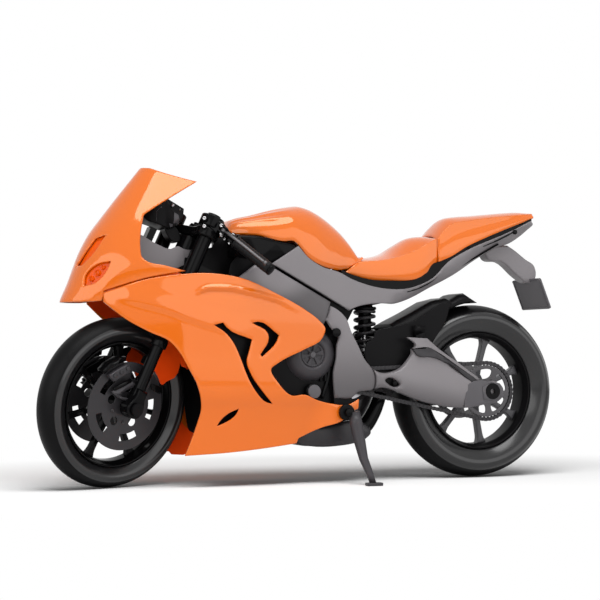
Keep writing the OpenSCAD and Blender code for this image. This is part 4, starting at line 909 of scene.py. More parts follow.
def crescent(r_low, r_high, middle, spread):
    a = np.radians(middle + spread * np.linspace(-1, 1, 9))
    outer = np.stack([r_high * np.cos(a), r_high * np.sin(a)], axis=1)
    inner = np.stack([r_low * np.cos(a[::-1]), r_low * np.sin(a[::-1])], axis=1)
    return np.concatenate([outer, inner])


def brake_disc(r, hole_r, face, back, place, slots):
    holes = [ring(hole_r)]
    for i in range(slots):
        holes.append(crescent(0.63 * r, 0.79 * r, 360 * i / slots + 20, 90 / slots))
        holes.append(ring(0.1 * r, *polar(0.42 * r, 360 * i / slots), 14))
    return sheet(ring(r, steps=72), holes, face, back, place, lip=0.25)


piece("front_brake_discs", [brake_disc(31, 4.5, 15, 14, fork, 5), brake_disc(31, 4.5, -14, -15, fork, 5)], CHARCOAL,
      "front_wheel_set", ["front_discs"])

rear_half = [(BEAD_R, 10.6), (44.7, 11.6), (46.2, 12.7), (48, 13.9), (50, 15.2), (52, 16.3), (54, 16.95), (56, 16.9),
             (57.6, 16.4), (59, 15.5)]
rear_rubber = tyre_of(rear_half, crown_of(44, 21.5, 42), upright)
piece("rear_tyre_rubber", rear_rubber, TREAD, "rear_wheel_set", ["rear_tyre"])
rear_wheel = cast_wheel(upright, 12, -20, 22.2, 9, 3.56, 7, 3, 3.2, 4.6)
rear_wheel[0] += (BLACK_SATIN,)
piece("rear_rim", rear_wheel, SPOKE_GREY, "rear_wheel_set", ["rear_wheel"])

# Fork, brakes and fender

def leg(s):
    """Place on a fork leg, with depth along it."""
    return laid(leg_point(s, 0), steer_turn)


tube = [(4.5, 46), (5.1, 46), (5.7, 46.6), (5.7, 51), (5.3, 52), (5.3, 145.4), (4.7, 147.8), (3.4, 148), (3.2, 147),
        (0.02, 147), (0.02, 110), (4.5, 110)]
piece("fork_upper_tubes", [lathe(tube, leg(s), 40) for s in (1, -1)], BLACK, "steering",
      ["fork_tubes"])

shapes = []
for s in (1, -1):
    shapes.append(lathe([(0.02, 0), (4.1, 0), (4.25, 0.6), (4.25, 93.4), (4, 94), (0.02, 94)], leg(s), 32))
    foot = flowing([(7, 0), (5, 5), (3.6, 10), (3.8, 14, 1), (-4.4, 14, 1), (-4.6, 8), (-6.6, 1), (-5, -5),
                    (0, -6.8), (5, -5)], 4)
    shapes.append(sheet(foot, [], s * 27.6, s * 17.6, fork, lip=1.2))
    shapes.append(sheet(rounded_box(-1.5, 33, 1.5, 36, 0.4), [], s * 22, s * 15.3, fork, lip=0.2))
piece("fork_lower_legs", shapes, BLACK, "fork_lowers", ["fork_sliders"])

caliper_frame = flowing([(18.8, 4.3, 1), (6.4, 16.8, 1), (-0.8, 14.9, 1), (-2, 10.5), (2.4, 3.1, 1), (10.7, 2.7, 1)],
                        4)
frame_hole = flowing([(13, 4.9, 1), (3, 15, 1), (1.4, 11.1), (3.7, 5.6, 1), (8.9, 4.4, 1)], 4)
caliper_block = flowing([(26.4, 13.2, 1), (23.4, 17.6), (15, 27, 1), (10.3, 23, 1), (15.4, 17.4), (20.2, 11.3, 1)], 4)
caliper_bridge = [(29.4, 13.2), (26.7, 18.2), (22.6, 23.2), (17.4, 27.6), (18.4, 30.4), (23.6, 27.4), (29, 21),
                  (31.8, 15)]
arm_up = flowing([(-0.8, 14.9, 1), (-5.1, 11.7, 1), (-8.7, 20.9), (-6, 25.6), (-2.5, 25.2)], 4)
reflector = flowing([(-8.7, 21.5, 1), (-18.2, 21.8), (-20, 18.6), (-11.5, 18.1, 1)], 4)
shapes = []
for s in (1, -1):
    shapes.append(sheet(caliper_frame, [frame_hole], s * 20.6, s * 17.4, fork, lip=0.7) + (GREY_DARK,))
    shapes.append(sheet(caliper_block, [], s * 20, s * 15.7, fork, lip=0.9) + (GREY_DARK,))
    shapes.append(sheet(caliper_block, [], s * 13.3, s * 9.6, fork, lip=0.9))
    shapes.append(sheet(caliper_bridge, [], s * 19, s * 10.4, fork, lip=0.7))
    shapes.append(sheet(arm_up, [], s * 20.2, s * 17.4, fork, lip=0.7) + (CHARCOAL,))
    shapes.append(sheet(reflector, [], s * 20.2, s * 18.6, fork, lip=0.4))
    for cx, cz in ((14.4, 23.4), (18.2, 19.2), (21.8, 15)):
        shapes.append(knob(1.7, s * 19.8, s * 21, fork, cx, cz, 0.3, 16) + (CHARCOAL,))
    bar = points_in(front_axle, steer_turn, [(17.7, s * 19, 6.6), (12, s * 19.4, 12.8), (7.8, s * 19, 17.2)])
    shapes.append(sweep(bar, 1.5, 10))
piece("front_brake_calipers", shapes, BLACK, "fork_lowers", ["front_calipers"])

FENDER_FROM, FENDER_TO = 100, 131
fender_rows = []
for a in np.radians(np.linspace(FENDER_FROM, FENDER_TO, 15)):
    edge = smooth_step(0, 1, (np.degrees(a) - FENDER_FROM) / 5) * smooth_step(0, 1, (FENDER_TO - np.degrees(a)) / 5)
    row = [(-15.2, 53.5 + 4 * (1 - edge)), (-15.2, 57), (-14.8, 60), (-13, 62), (-9, 63.2), (0, 63.8)]
    row = row + [(-y, r) for y, r in row[-2::-1]]
    fender_rows.append(points_in(front_axle, steer_turn, [(r * math.cos(a), y, r * math.sin(a)) for y, r in row]))
flap = flowing([(-7.4, 32), (-7.4, 46, 1), (-16, 57, 1), (-24, 57, 1), (-29.5, 33.5), (-25, 29), (-21.8, 25),
                (-16, 28.5), (-8, 32)], 5)
fender_stay = [(3, 32), (3, 37), (-8, 45), (-8.6, 32)]
fender_shapes = [arched(fender_rows, 1.1)] + [sheet(flap, [], s * 15.5, s * 14.2, fork, lip=0.4) for s in (1, -1)]
fender_shapes += [sheet(fender_stay, [], s * 15.3, s * 14.4, fork, lip=0.3) + (BLACK_SATIN,) for s in (1, -1)]
# The fender is drawn in the redder copy of the orange: a painted shade
piece("fender", fender_shapes, ORANGE_PAINTED_SHADE, "fork_lowers", ["front_fender"])

# Cockpit

top_clamp = flowing([(14.4, 22), (12, 28), (6, 30.4), (0, 28), (-4, 20), (-9, 9), (-10.4, 0), (-9, -9), (-4, -20),
                     (0, -28), (6, -30.4), (12, -28), (14.4, -22), (10, -12), (8.4, 0), (10, 12)], 4)
steer = laid(steer_base, steer_turn)
shapes = [sheet(top_clamp, [], 137, 130, steer, lip=1.4), knob(6, 136, 140, steer, 0, 0, 0.8, 6),
          knob(3, 139, 142, steer), knob(1.3, 128, 131, steer, 0, -13, 0.2, 14)]
piece("top_fork_clamp", shapes, BLACK, "steering", ["upper_clamp"])
shapes = [sheet(top_clamp, [], 87, 80, steer, lip=1.4), knob(4, 86, 130.5, steer, 0, 0, 0.3, 28)]
piece("bottom_fork_clamp", shapes, BLACK, "steering", ["lower_clamp"])

# Screw heads on the cockpit are drawn in bare steel, lighter than the black bolts they stand for: painted glints
glint_screw_spots = []
outwards = np.array([0.3, 0.94, 0.16]) / np.linalg.norm([0.3, 0.94, 0.16])
for s, side in ((1, "left"), (-1, "right")):
    origin, turned = bar_frame(s)
    hold = laid(origin, turned)
    collar = [(5.5, 138), (8, 138), (8.5, 138.6), (8.5, 145.4), (8, 146), (5.5, 146)]
    shapes = [lathe(collar, leg(s), 32),
              knob(2.3, 0, 56, hold, 0, 0, 0.4, 18), knob(4.3, 55, 57, hold, 0, 0, 0.7, 20),
              sheet(rounded_box(-3.6, -2.9, 6.2, 2.9, 1.4), [], 17.2, 10.8, hold, lip=0.7),
              sheet(rounded_box(4.6, 1.65, 11.4, 2.7, 0.4), [], 16.6, 11.4, hold, lip=0.2),
              sheet(rounded_box(4.6, -2.7, 11.4, -1.65, 0.4), [], 16.6, 11.4, hold, lip=0.2),
              sheet(rounded_box(-3.4, -3.4, 3.4, 3.4, 1.2), [], 22.4, 18, hold, lip=0.7),
              sheet(rounded_box(-5.2, -4.8, 5.6, 4.8, 1.8), [], 9.6, 2, hold, lip=0.8)]
    if s > 0:
        # Short stubs on the left bar end in such screws, facing outwards: painted glints
        for spot in ((226, 30, 122.6), (226, 30, 117), (215, 35, 117.4), (206.6, 35, 110.8)):
            end = np.array(spot, float)
            shapes.append(sweep([end - 9 * outwards, end], 2.1, 14))
            glint_screw_spots.append((end, outwards))
    pinch = points_in(leg_point(s, 0), steer_turn, [(-6, s * 3, BAR_H), (-11.5, s * 4, BAR_H)])
    shapes.append(sweep(pinch, 2.2, 12))
    piece(side + "_clip_on_bar", shapes, BLACK, "steering", ["handlebar_" + side])
    ridge = [(2.35, 23), (4.6, 23), (4.8, 23.6), (4.6, 24.4), (4.1, 24.8)]
    for i in range(11):
        z = 25.4 + 2.6 * i
        ridge += [(4.1, z), (4.3, z + 0.4), (4.3, z + 1.5), (4.1, z + 1.9)]
    ridge += [(4.1, 55), (2.35, 55)]
    piece(side + "_hand_grip", [lathe(ridge, hold, 28)], GRIP, "steering", ["grip_" + side])
    lever_path = flowing([(8.6, 14.4), (10.6, 19), (12.1, 27), (12.4, 38), (11.9, 48), (12.2, 53)], 5, closed=False)
    lever_line = points_in(origin, turned, [(x, 0, z) for x, z in lever_path])
    thick = np.interp(np.arange(len(lever_line)), [0, 8, 20, len(lever_line) - 1], [1.2, 1.25, 1.1, 1.0])
    eye = placed(origin, turned)
    shapes = [sweep(lever_line, thick, 10), knob(2.1, -1.15, 1.15, eye, 8.5, 14, 0.3, 18),
              knob(1.7, 52.6, 55, laid(points_in(origin, turned, [(12.2, 0, 0)])[0], turned), 0, 0, 0.6, 14)]
    name = "clutch_lever" if s > 0 else "brake_lever"
    piece(name.replace("lever", "hand_lever"), shapes, DARK_STEEL, name, [name])
    for spot, out in (((2.6, 2.9, 13), (0, 1, 0)), ((-1.6, 2.9, 15), (0, 1, 0)), ((0, 3.4, 20.2), (0, 1, 0)),
                      ((8.5, 2.7, 14), (0, 1, 0)), ((-3.4, 0, 20.2), (-1, 0, 0))):
        flip = np.array([1.0, s, 1.0])
        glint_screw_spots.append((points_in(origin, turned, [np.array(spot) * flip])[0], turned @ (np.array(out) * flip)))
    for h in (140, 144):
        at = np.array([FORK_OFFSET - 8.4, s * LEG_Y + s * 3.0, h])
        glint_screw_spots.append((steer_base + steer_turn @ at, steer_turn @ np.array([-1.0, 0, 0])))
for x, y in ((12.6, 22), (12.6, -22), (-6, 12), (-6, -12)):
    glint_screw_spots.append((steer_base + steer_turn @ np.array([x - 2.4, y, 137]), steer_turn @ np.array([0, 0, 1.0])))


def dash_half(x, z):
    return np.maximum(12.4 - 0.03 * (x - 253)**2, 4.5)


dash_rim = flowing([(264, 127), (256, 133.8), (246.2, 137.2, 1), (232.6, 131.4, 1), (233.4, 123, 1), (244, 116.4),
                    (256, 119.8), (262, 122)], 4)
dash_face = flowing([(255.6, 128, 1), (252, 131.8, 1), (236.4, 127.8, 1), (236.4, 120.4, 1), (244.2, 117.4, 1),
                     (255.6, 121, 1)], 4)
dash_plug = flowing([(247, 117.4), (240.6, 118.4), (236, 112.2), (236, 108), (240, 107), (245, 111)], 4)
shapes = [sheet(dash_rim, [], dash_half, lambda x, z: -dash_half(x, z), upright, lip=1),
          sheet(dash_face, [], lambda x, z: dash_half(x, z) + 0.5, 2, upright, lip=0.4) + (GREY_MID,),
          sheet(dash_plug, [], 6, -5, upright, lip=0.8)]
for x, z in ((242.4, 133), (236.6, 130.6)):
    end = np.array([x, dash_half(x, z) + 0.5, z])
    shapes.append(sweep([end - (0, 3, 0), end], 1.1, 12) + (ALLOY,))
piece("dash_pod", shapes, BLACK_SATIN, "chassis", ["dash"])

# Grey frame

spar_rim = flowing([(204, 79.5, 1), (184, 94.4, 1), (176, 89.6, 1), (131, 65.2, 1), (134.6, 53, 1), (137, 48, 1),
                    (170, 57), (204, 68.5, 1)], 5)


def spar_front(x, z):
    return 33.4 - 0.0024 * (z - 72 - 0.5 * (x - 165))**2


head_end = points_in(steer_base, head_turn, [(-18, 12, 91), (-8, 12, 91), (-8, 15, 91), (-18, 15, 91),
                                             (-18, 12, 107), (-8, 12, 107), (-8, 15, 107), (-18, 15, 107)])
spar_end = np.array([(198, 28.5, 70), (204, 28.5, 70), (204, 33.2, 70), (198, 33.2, 70),
                     (198, 28.5, 79), (204, 28.5, 79), (204, 33.2, 79), (198, 33.2, 79)], float)
brace = loft([spar_end[[0, 3, 7, 4]], spar_end[[1, 2, 6, 5]], head_end[[0, 3, 7, 4]], head_end[[1, 2, 6, 5]]])
spar = [sheet(spar_rim, [], spar_front, 28.5, upright, step=5, lip=1.6), brace + (BLACK_SATIN,)]
piece("left_spar", spar, SPAR_GREY_PAINTED_SHADE, "chassis", ["frame_spar_left"])
piece("right_spar", [mirrored(q) for q in spar], SPAR_GREY_PAINTED_SHADE, "chassis", ["frame_spar_right"])

plate_rim = flowing([(130.6, 62.6, 1), (125, 59.6), (119.6, 54.6), (115, 44), (109.6, 34.1), (103.4, 23),
                     (99.4, 18.8), (96.9, 15.1), (95.6, 10.3), (95.7, 6.5), (97.2, 2.4), (103, 1.2), (109.7, 0.4),
                     (114.2, -3.4), (127.7, -3.8, 1), (128.6, 6.6), (128.6, 14.8), (126.6, 24.4), (126, 34),
                     (124.6, 41), (129.6, 45.6), (134.2, 52.5, 1)], 5)
plate = sheet(plate_rim, [], lambda x, z: 33.4 - 0.006 * (x - 113)**2, 29.8, upright, step=3, lip=1.4, back_lip=0.4)
boss = [knob(3.3, 32.4, 35.4, upright, 127.4, 43.2, 0.7, 20) + (BLACK,),
        knob(3.4, 26, 30, upright, PIVOT_X, PIVOT_Z, 0.4, 24)]
lug_rim = flowing([(128, -2, 1), (127, -14), (123, -20), (116.5, -19.4), (113.6, -10), (114, -2, 1)], 4)
lug = sheet(lug_rim, [], 31, 29.9, upright, lip=0.4) + (BLACK_SATIN,)
pin = knob(2.4, 30, 38.2, upright, STAND_X, STAND_Z, 0.4, 20) + (BLACK_SATIN,)
piece("left_pivot_plate", [plate, lug, pin] + boss, PLATE_GREY_PAINTED_SHADE, "chassis", ["pivot_plate_left"])
piece("right_pivot_plate", [mirrored(q) for q in [plate] + boss], PLATE_GREY_PAINTED_SHADE, "chassis",
      ["pivot_plate_right"])

panel = placed((150, 30, 0), turn("z", 4.5))
panel_fold = [(-205, 128.5), (-195, 127.5), (-177, 121.9), (-153, 110), (-129, 94.6), (-105, 82.8), (-83, 72.6),
              (-70, 66)]


def from_150(points):
    return [(p[0] - 150, *p[1:]) for p in points]


def panel_front(x, z):
    under = np.maximum(curve(panel_fold, x) - z, 0) * smooth_step(-64, -76, x)
    return 0.25 - 0.9 * under


panel_rim = flowing(from_150([(155, 105.2, 1), (147, 97), (136, 90.8), (121, 86.8), (113, 83), (105, 80.2),
                              (88, 76.5), (63.5, 76.8), (43, 84.9), (29.4, 97.4), (15, 105.4), (-24.8, 121.4),
                              (-38, 127.4), (-45.4, 131, 1), (-47.2, 128.6), (-43.6, 123.6), (-31, 113.4),
                              (-19, 110), (2, 99.5), (22, 87.5), (43, 77.5), (62, 68.4), (75, 65), (89, 65),
                              (111, 60.9), (114, 59.4, 1), (176, 92, 1)]), 5)
strip_rim = flowing(from_150([(120, 88.4), (114, 86.6), (98, 82.7), (78, 82.1), (58, 83.6), (49, 88.6), (43.5, 94.9),
                              (38, 97), (27, 101.6), (12.8, 109.6), (-16, 121.6), (-39, 130), (-46.4, 132.6, 1),
                              (-46, 129.6), (-38, 126.2), (-24.8, 118.5), (15, 102.5), (29.4, 94.5), (43, 82),
                              (63.5, 73.8), (88, 73.5), (105, 77), (120, 84.6)]), 4)
grey_side = sheet(panel_rim, [], panel_front, lambda x, z: panel_front(x, z) - 2.5, panel, step=4, lip=1.0)
strip = sheet(strip_rim, [], -0.5, -2.4, panel, lip=0.5) + (BLACK,)
stud = knob(1.9, -0.6, 1.2, panel, -180, 121.6, 0.5, 16) + (BLACK,)
seat_side = [grey_side, strip, stud]
for side, shapes in (("left", seat_side), ("right", [mirrored(q) for q in seat_side])):
    piece(side + "_seat_side", shapes, GREY, "chassis", ["seat_panel_" + side])

airbox_rim = flowing([(202, 97, 1), (202, 112, 1), (184, 111.6), (174, 109.4), (157.5, 107, 1), (154, 103.4),
                      (148, 96.6), (160, 92, 1), (184, 94, 1)], 5)
piece("airbox", [sheet(airbox_rim, [], 28.4, -28.4, upright, lip=2.6)], BLACK, "chassis",
      ["airbox_cover"])

tray = laid((26, 0, 89), turn("y", 27.5))
bracket_rim = flowing([(-8, 107.4, 1), (-12.2, 100.4), (-23.1, 99.2), (-39.1, 87.4), (-46.6, 83.2), (-53, 83.8, 1),
                       (-54.4, 91.6), (-52.6, 96.8), (-45.1, 101.6), (-34.1, 109.2), (-29.1, 112, 1), (-16, 112, 1)],
                      5)
shapes = [sheet([(0, -17.6), (0, 17.6), (-48, 14.3), (-48, -14.3)], [], 2, 0, tray, lip=0.4) + (BLACK_SATIN,),
          sheet(bracket_rim, [], 6, -6, upright, lip=1.6)]
piece("plate_carrier", shapes, GREY, "chassis", ["plate_bracket"])
lean = turn("y", 22)


def plate_place(v):
    return np.array([-48, 0, 86]) + faced(v) @ lean.T


shapes = [sheet(rounded_box(-21, -25, 21, 0, 1.6), [], 0, -1.5, plate_place, lip=0.4),
          sheet(rounded_box(-21, -25, 21, 0, 1.6), [rounded_box(-19.4, -23.4, 19.4, -1.6, 1)], 0.5, -0.4,
                plate_place, lip=0.3)]
piece("plate_sheet", shapes, GREY_MID, "chassis", ["number_plate"])

# Engine, exhaust and stand

COVER_X, COVER_Z = 144.4, 27.4
cover = [(0.02, 22), (19.6, 22), (19.8, 23), (19.2, 25.2), (17.8, 27.6), (15.8, 29.6), (13.6, 31), (11.4, 31.8),
         (10, 31.8), (9.1, 31.2), (8.8, 29.4), (0.02, 29.4)]
shapes = [lathe(cover, lambda v: upright(v + np.array([COVER_X, COVER_Z, 0])), 56) + (GREY_DARK,)]
fan_holes = [crescent(2.8, 7.4, 60 * i + 20, 17) + np.array([COVER_X, COVER_Z]) for i in range(6)]
shapes.append(sheet(ring(8.7, COVER_X, COVER_Z, 40), fan_holes, 30.6, 29.6, upright, lip=0.3) + (GREY_DARK,))
shapes.append(knob(2.2, 30, 31.6, upright, COVER_X, COVER_Z, 0.5, 16) + (GREY_MID,))
shapes.append(knob(5.8, 24, 31, upright, 143.6, 1, 0.8, 28))
shapes.append(knob(4.9, 30.6, 32.6, upright, 143.6, 1, 0.5, 28) + (GREY_MID,))
case = flowing([(128, -22), (128, -2), (130, 10), (128, 30), (132, 44), (150, 47), (176, 44), (182, 20), (176, -4),
                (160, -14), (150, -22)], 4)
shapes.append(sheet(case, [], 25.6, 23.6, upright, lip=1.4) + (BLACK_SATIN,))
for x0, z0, x1, z1 in ((132, 8, 134, 20), (136, 8, 137.6, 13), (152, -12, 170, -10), (152, -8, 172, -6),
                       (132, -16, 148, -14)):
    shapes.append(sheet(rounded_box(x0, z0, x1, z1, 0.7), [], 28, 25, upright, lip=0.5))
hose = flowing([(131, 34), (129.6, 22), (131.4, 8), (136, -4)], 6, closed=False)
shapes.append(sweep([(x, 26.6, z) for x, z in hose], 1.5, 10))
piece("engine_side_cover", shapes, BLACK, "chassis", ["engine_cover"])

muffler_rim = flowing([(150, -25), (128, -23.4), (100, -22), (94, -25.4), (92.4, -30), (96.4, -34.4), (106, -37.6),
                       (116, -39), (140, -39), (150, -37), (153, -31)], 5)
route = flowing([(98, -31), (86, -25), (74, -12), (66, 4)], 6, closed=False)
side_way = np.interp(np.linspace(0, 3, len(route)), [0, 1, 2, 3], [-17, -31, -39.5, -44])
pipe = sweep([(x, y, z) for (x, z), y in zip(route, side_way)], 4.6, 16)
along = np.array([34, -45, 26.0]) - np.array([66, -44, 4.0])
length = np.linalg.norm(along)
along /= length
cross = np.cross(along, [0, 1.0, 0])
cross /= np.linalg.norm(cross)
silencer = laid((66, -44, 4), np.column_stack([cross, np.cross(along, cross), along]))
can = [(0.02, -1), (4.6, -1), (6, 1), (8.8, 5), (9, 6.4), (9.1, length - 4), (8.6, length - 1), (7.6, length),
       (5.4, length), (5, length - 0.8), (4.8, length - 7), (0.02, length - 7)]
elbow = flowing([(102, -30), (92, -26), (85, -17), (80, -6), (78.5, -1)], 6, closed=False)
shapes = [sheet(muffler_rim, [], 19.8, -19.8, upright, lip=4.5), pipe, lathe(can, silencer, 36),
          sweep([(x, 3, z) for x, z in elbow], np.linspace(6.4, 4.6, len(elbow)), 16) + (BLACK,)]
piece("belly_exhaust", shapes, CHARCOAL, "chassis", ["exhaust"])

stand_line = [(115.4, 38, -13.6), (114, 38.4, -22), (112, 39.8, -34), (110.6, 44, -47), (107.6, 48.6, -58),
              (106.4, 50.8, -64)]
shapes = [knob(5.8, 33.3, 37.2, upright, STAND_X, STAND_Z, 0.8, 28) + (BLACK_SATIN,),
          knob(2.9, 37, 41.2, upright, STAND_X, STAND_Z, 0.6, 16) + (BLACK,),
          sweep(stand_line, [4.2, 4.8, 4.3, 3.3, 2.6, 2.4], 14),
          sheet(rounded_box(100, 48.4, 112, 55.4, 1.4), [], -63.4, FLOOR, straight, lip=0.5)]
piece("prop_stand", shapes, GREY_DARK, "side_stand", ["side_stand"])

# Rear end

arm_rim = flowing([(96.4, 16.6, 1), (89.8, 14.2), (82.1, 14.6), (74.4, 17.4), (67.4, 24.4), (64.6, 29),
                   (64.8, 31.4, 1), (50, 30.4), (37, 22.6), (16, 8.6), (6, 7.8), (-7, 6), (-9.6, 2.6), (-9.6, -4),
                   (-6.5, -7.8), (0, -9), (22.5, -12.4), (28, -12.2), (60.5, -5.9), (82.2, 2.0), (88.3, 3.4),
                   (95.8, 2.4, 1), (94.9, 5.4), (94.6, 9.6), (95.2, 13.4)], 5)
arm_slot = flowing([(87, 8.8), (84.5, 10.4), (77.5, 8.2), (75, 5.5), (77.5, 4), (84.5, 6)], 5)


def arm_front(x, z):
    back_step = 0.9 * smooth_step(21.6, 19.8, x - 0.45 * (z + 2))
    belly = 1.0 - 0.008 * (z - 2 - 0.12 * (x - 30))**2
    return 30.8 + back_step + np.maximum(belly, -0.4) * smooth_step(12, 24, x)


def fin_front(x, z):
    return 31.2 - 0.3 * np.maximum(z - 31 + 0.62 * (50 - x), 0)


axle_seat = flowing([(8.2, 3.4, 1), (3, 5.4, 1), (-6.6, 4.6, 1), (-7.4, -4.6, 1), (-0.4, -7.2, 1), (7.4, -6, 1)], 3)
fin_top = flowing([(69.4, 40.2, 1), (52, 39.4, 1), (44, 32.6), (26.7, 21.4), (9, 9.4, 1), (10, 7.4, 1), (30, 20.4),
                   (44, 29), (52, 32.6), (64.8, 31.6, 1), (62.4, 34)], 4)
fin_side = flowing([(65.4, 31.4, 1), (50, 32, 1), (30, 19.6), (9.6, 7, 1), (16.4, 6.6, 1), (37, 21), (50, 25.4),
                    (61.6, 26.4)], 4)
end_block = flowing([(21.4, 4.6, 1), (15.6, 7.6), (-6.6, 6, 1), (-9.6, 2), (-9.2, -4), (-4, -8.4, 1),
                     (23, -12.2, 1)], 4)
arm = [sheet(arm_rim, [arm_slot], arm_front, 25.5, upright, step=4, lip=2.4, back_lip=0.6),
       sheet(fin_top, [], fin_front, 27.6, upright, step=4, lip=0.5),
       sheet(fin_side, [], 32.2, 29, upright, lip=0.7) + (CHARCOAL,),
       sheet(end_block, [ring(5.8, 0, 0, 28)], 32.6, 30, upright, lip=0.6) + (GREY_MID,),
       sheet(axle_seat, [ring(5.6, 0, 0, 28)], 33.6, 31, upright, lip=0.4) + (GREY_MID,),
       sheet(flowing([(88, 12), (74, 12), (73, 2), (88, 2)], 3), [], 26.4, 25.6, upright, lip=0.2) + (BLACK_SATIN,),
       knob(2, 26, 29.6, upright, 78.6, 6.4, 0.6, 18) + (BLACK,),
       sweep([(18.6, 31.5, -9), (8, 31.5, -8.5), (-2, 31.5, -8)], 0.55, 8) + (STEEL,),
       knob(8, 25.5, 29.3, upright, PIVOT_X, PIVOT_Z, 0.5, 36)]
flipped = [mirrored(q) for q in arm]
piece("left_swing_arm", arm, ARM_GREY_PAINTED_SHADE, "swingarm", ["swingarm_left"])
pads = flowing([(13, -3, 1), (30, -5), (31, 1), (30, 7), (15, 8, 1)], 4)
shapes = flipped + [sheet(pads, [], -25.3, -21.8, upright, lip=0.8) + (BLACK,),
                    sheet(pads, [], -19.2, -16.6, upright, lip=0.8) + (BLACK,),
                    sheet([(24, -4.4), (31, -5), (31, 7), (24, 7.4)], [], -24, -17, upright, lip=0.6) + (BLACK,)]
piece("right_swing_arm", shapes, ARM_GREY_PAINTED_SHADE, "swingarm", ["swingarm_right"])
# Black plates inside the swing arm: partly the chain guard's side plates, partly a painted shade for the dark inside
# of the frame
guard_and_shade_rim = flowing([(98.4, 24), (97, 36), (91.7, 39.6), (90.9, 43.4), (80, 47.2), (70, 49), (59.4, 52), (36, 66.4, 1),
                 (28.5, 67.4, 1), (30.9, 56.6), (43.6, 36, 1), (56, 34), (62, 26), (70, 16), (86, 13)], 5)
shapes = [sheet(guard_and_shade_rim, [], 20.4, 19.2, upright, lip=0.4), sheet(guard_and_shade_rim, [], -19.2, -20.4, upright, lip=0.4)]
piece("inner_guards", shapes, BLACK_SATIN, "swingarm")


def over_tyre(x):
    return math.sqrt(max(67.6**2 - min(x, 55.6)**2, 0)) + max(0.0, x - 55.6) * 0.37


hugger_top = [(5, 67.4), (9, 71), (13.6, 74.2), (18.6, 72.9), (25.4, 68.8), (29, 70.4), (41.2, 67.4), (57.2, 58.8),
              (71.4, 52), (78.4, 48)]
hugger_rows = []
for x in (4.6, 5.4, 9, 13.4, 18.6, 25.3, 26.2, 29, 35, 41, 49, 57, 64, 71, 74, 75.4):
    top = float(np.interp(x, *zip(*hugger_top)))
    low = min(over_tyre(x), top - 0.8)
    wide, rise = 17.4, top - low
    half = [(wide, low), (wide + 0.2, low + 0.25 * rise), (wide - 0.4, low + 0.6 * rise),
            (wide - 3.2, top - 0.12 * rise), (wide - 6, top)]
    row = half + [(-y, z) for y, z in half[::-1]]
    hugger_rows.append([(x, y, z) for y, z in row])
stays = [sheet([(51, 31), (57, 31), (60, 47), (52, 48)], [], s * 25.3, s * 20.6, upright, lip=0.5) for s in (1, -1)]
feet = [sheet([(52, 44), (60, 41.5), (60, 49), (52, 49)], [], s * 25.3, s * 15.5, upright, lip=0.4) for s in (1, -1)]
piece("rear_hugger", [loft(hugger_rows)] + stays + feet, BLACK_SATIN, "swingarm", ["hugger"])

damper = [(0.02, 20), (4.6, 20), (5, 20.6), (5, 36.4), (8.4, 36.9), (8.8, 37.3), (8.8, 38.6), (8.3, 39.1), (6, 39.3),
          (6, 40.6), (5, 41), (4.9, 42.4), (3, 43), (0.02, 43)]
SHOCK_X = 90
foot_of_shock = laid((SHOCK_X, 0, 24), np.eye(3))
shapes = [lathe(damper, foot_of_shock, 32), knob(4.4, -3.4, 3.4, upright, SHOCK_X, 70, 0.6, 24)]
piece("shock_damper", shapes, BLACK, "shock_upper", ["shock_body"])
COIL_TURNS, COIL_R, COIL_LOW, COIL_TOP = 5.5, 7.2, 33.4, 59.6
turns = np.linspace(0, COIL_TURNS, 122)
climb = COIL_LOW + (COIL_TOP - COIL_LOW) * np.clip((turns - 0.45) / (COIL_TURNS - 0.9), 0, 1)
coil = [(SHOCK_X + COIL_R * math.cos(2 * math.pi * t), COIL_R * math.sin(2 * math.pi * t), z)
        for t, z in zip(turns, climb)]
spring = piece("coil_spring", [sweep(coil, 1.3, 12)], CHARCOAL, "shock_upper", ["shock_spring"])
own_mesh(spring)

TEETH = 42
tooth = ((-0.42, 19.3), (-0.16, 19.9), (0.16, 19.9), (0.42, 19.3))
teeth = [polar(r, (i + part) * 360 / TEETH) for i in range(TEETH) for part, r in tooth]
window = ((-25, 0.97), (0, 1), (25, 0.97), (24, 0.7), (0, 0.56), (-24, 0.7))
windows = [flowing([np.array(polar(16.6, a + d)) * f for d, f in window], 4) for a in range(10, 360, 72)]
shapes = [sheet(teeth, [ring(5.6, 0, 0, 24)] + windows, 23.3, 22.2, upright, lip=0.25) + (SPROCKET,),
          brake_disc(22, 5.6, -20, -21, upright, 5) + (DARK_STEEL,)]
piece("rear_sprocket_and_disc", shapes, SPROCKET, "rear_wheel_set", ["rear_hub_rings"])

# Shade sheets behind the fairing slots, and inner panels

# Black sheets behind the fairing's slots: a painted shade, standing in for the dark depth seen through them
slot_shade_rim = flowing([(226, 53), (200, 55), (172, 47), (168, 36), (184, 24), (182, 14), (174, 2), (166, -8),
                      (180, -13), (196, -26), (220, -28), (222, -14), (223, 6), (226, 30)], 4)
slot_shade = sheet(slot_shade_rim, [], behind(8), behind(9), upright, step=5, lip=0.3)
seam_rim = flowing([(299, 66), (298, 72), (270, 80.6), (247, 84.4), (243, 83), (250, 79), (270, 75), (286, 68)], 4)
seam = sheet(seam_rim, [], behind(3.2), behind(4.2), upright, step=5, lip=0.3)
piece("fairing_linings", both(slot_shade) + [q + (ORANGE_DEEP,) for q in both(seam)], BLACK_SATIN, "chassis")
head_shield = flowing([(270, 112), (254.6, 105.2), (244.7, 102), (239, 104), (234, 102), (229.4, 101.6, 1),
                       (234, 91, 1), (240, 88.4), (256, 91), (270, 94)], 5)
tube_shield = flowing([(230.4, 101.4), (219, 102.8), (213.5, 104, 1), (211, 111, 1), (200, 111.6, 1), (197, 100),
                       (195, 78), (236, 78), (236.4, 88)], 4)
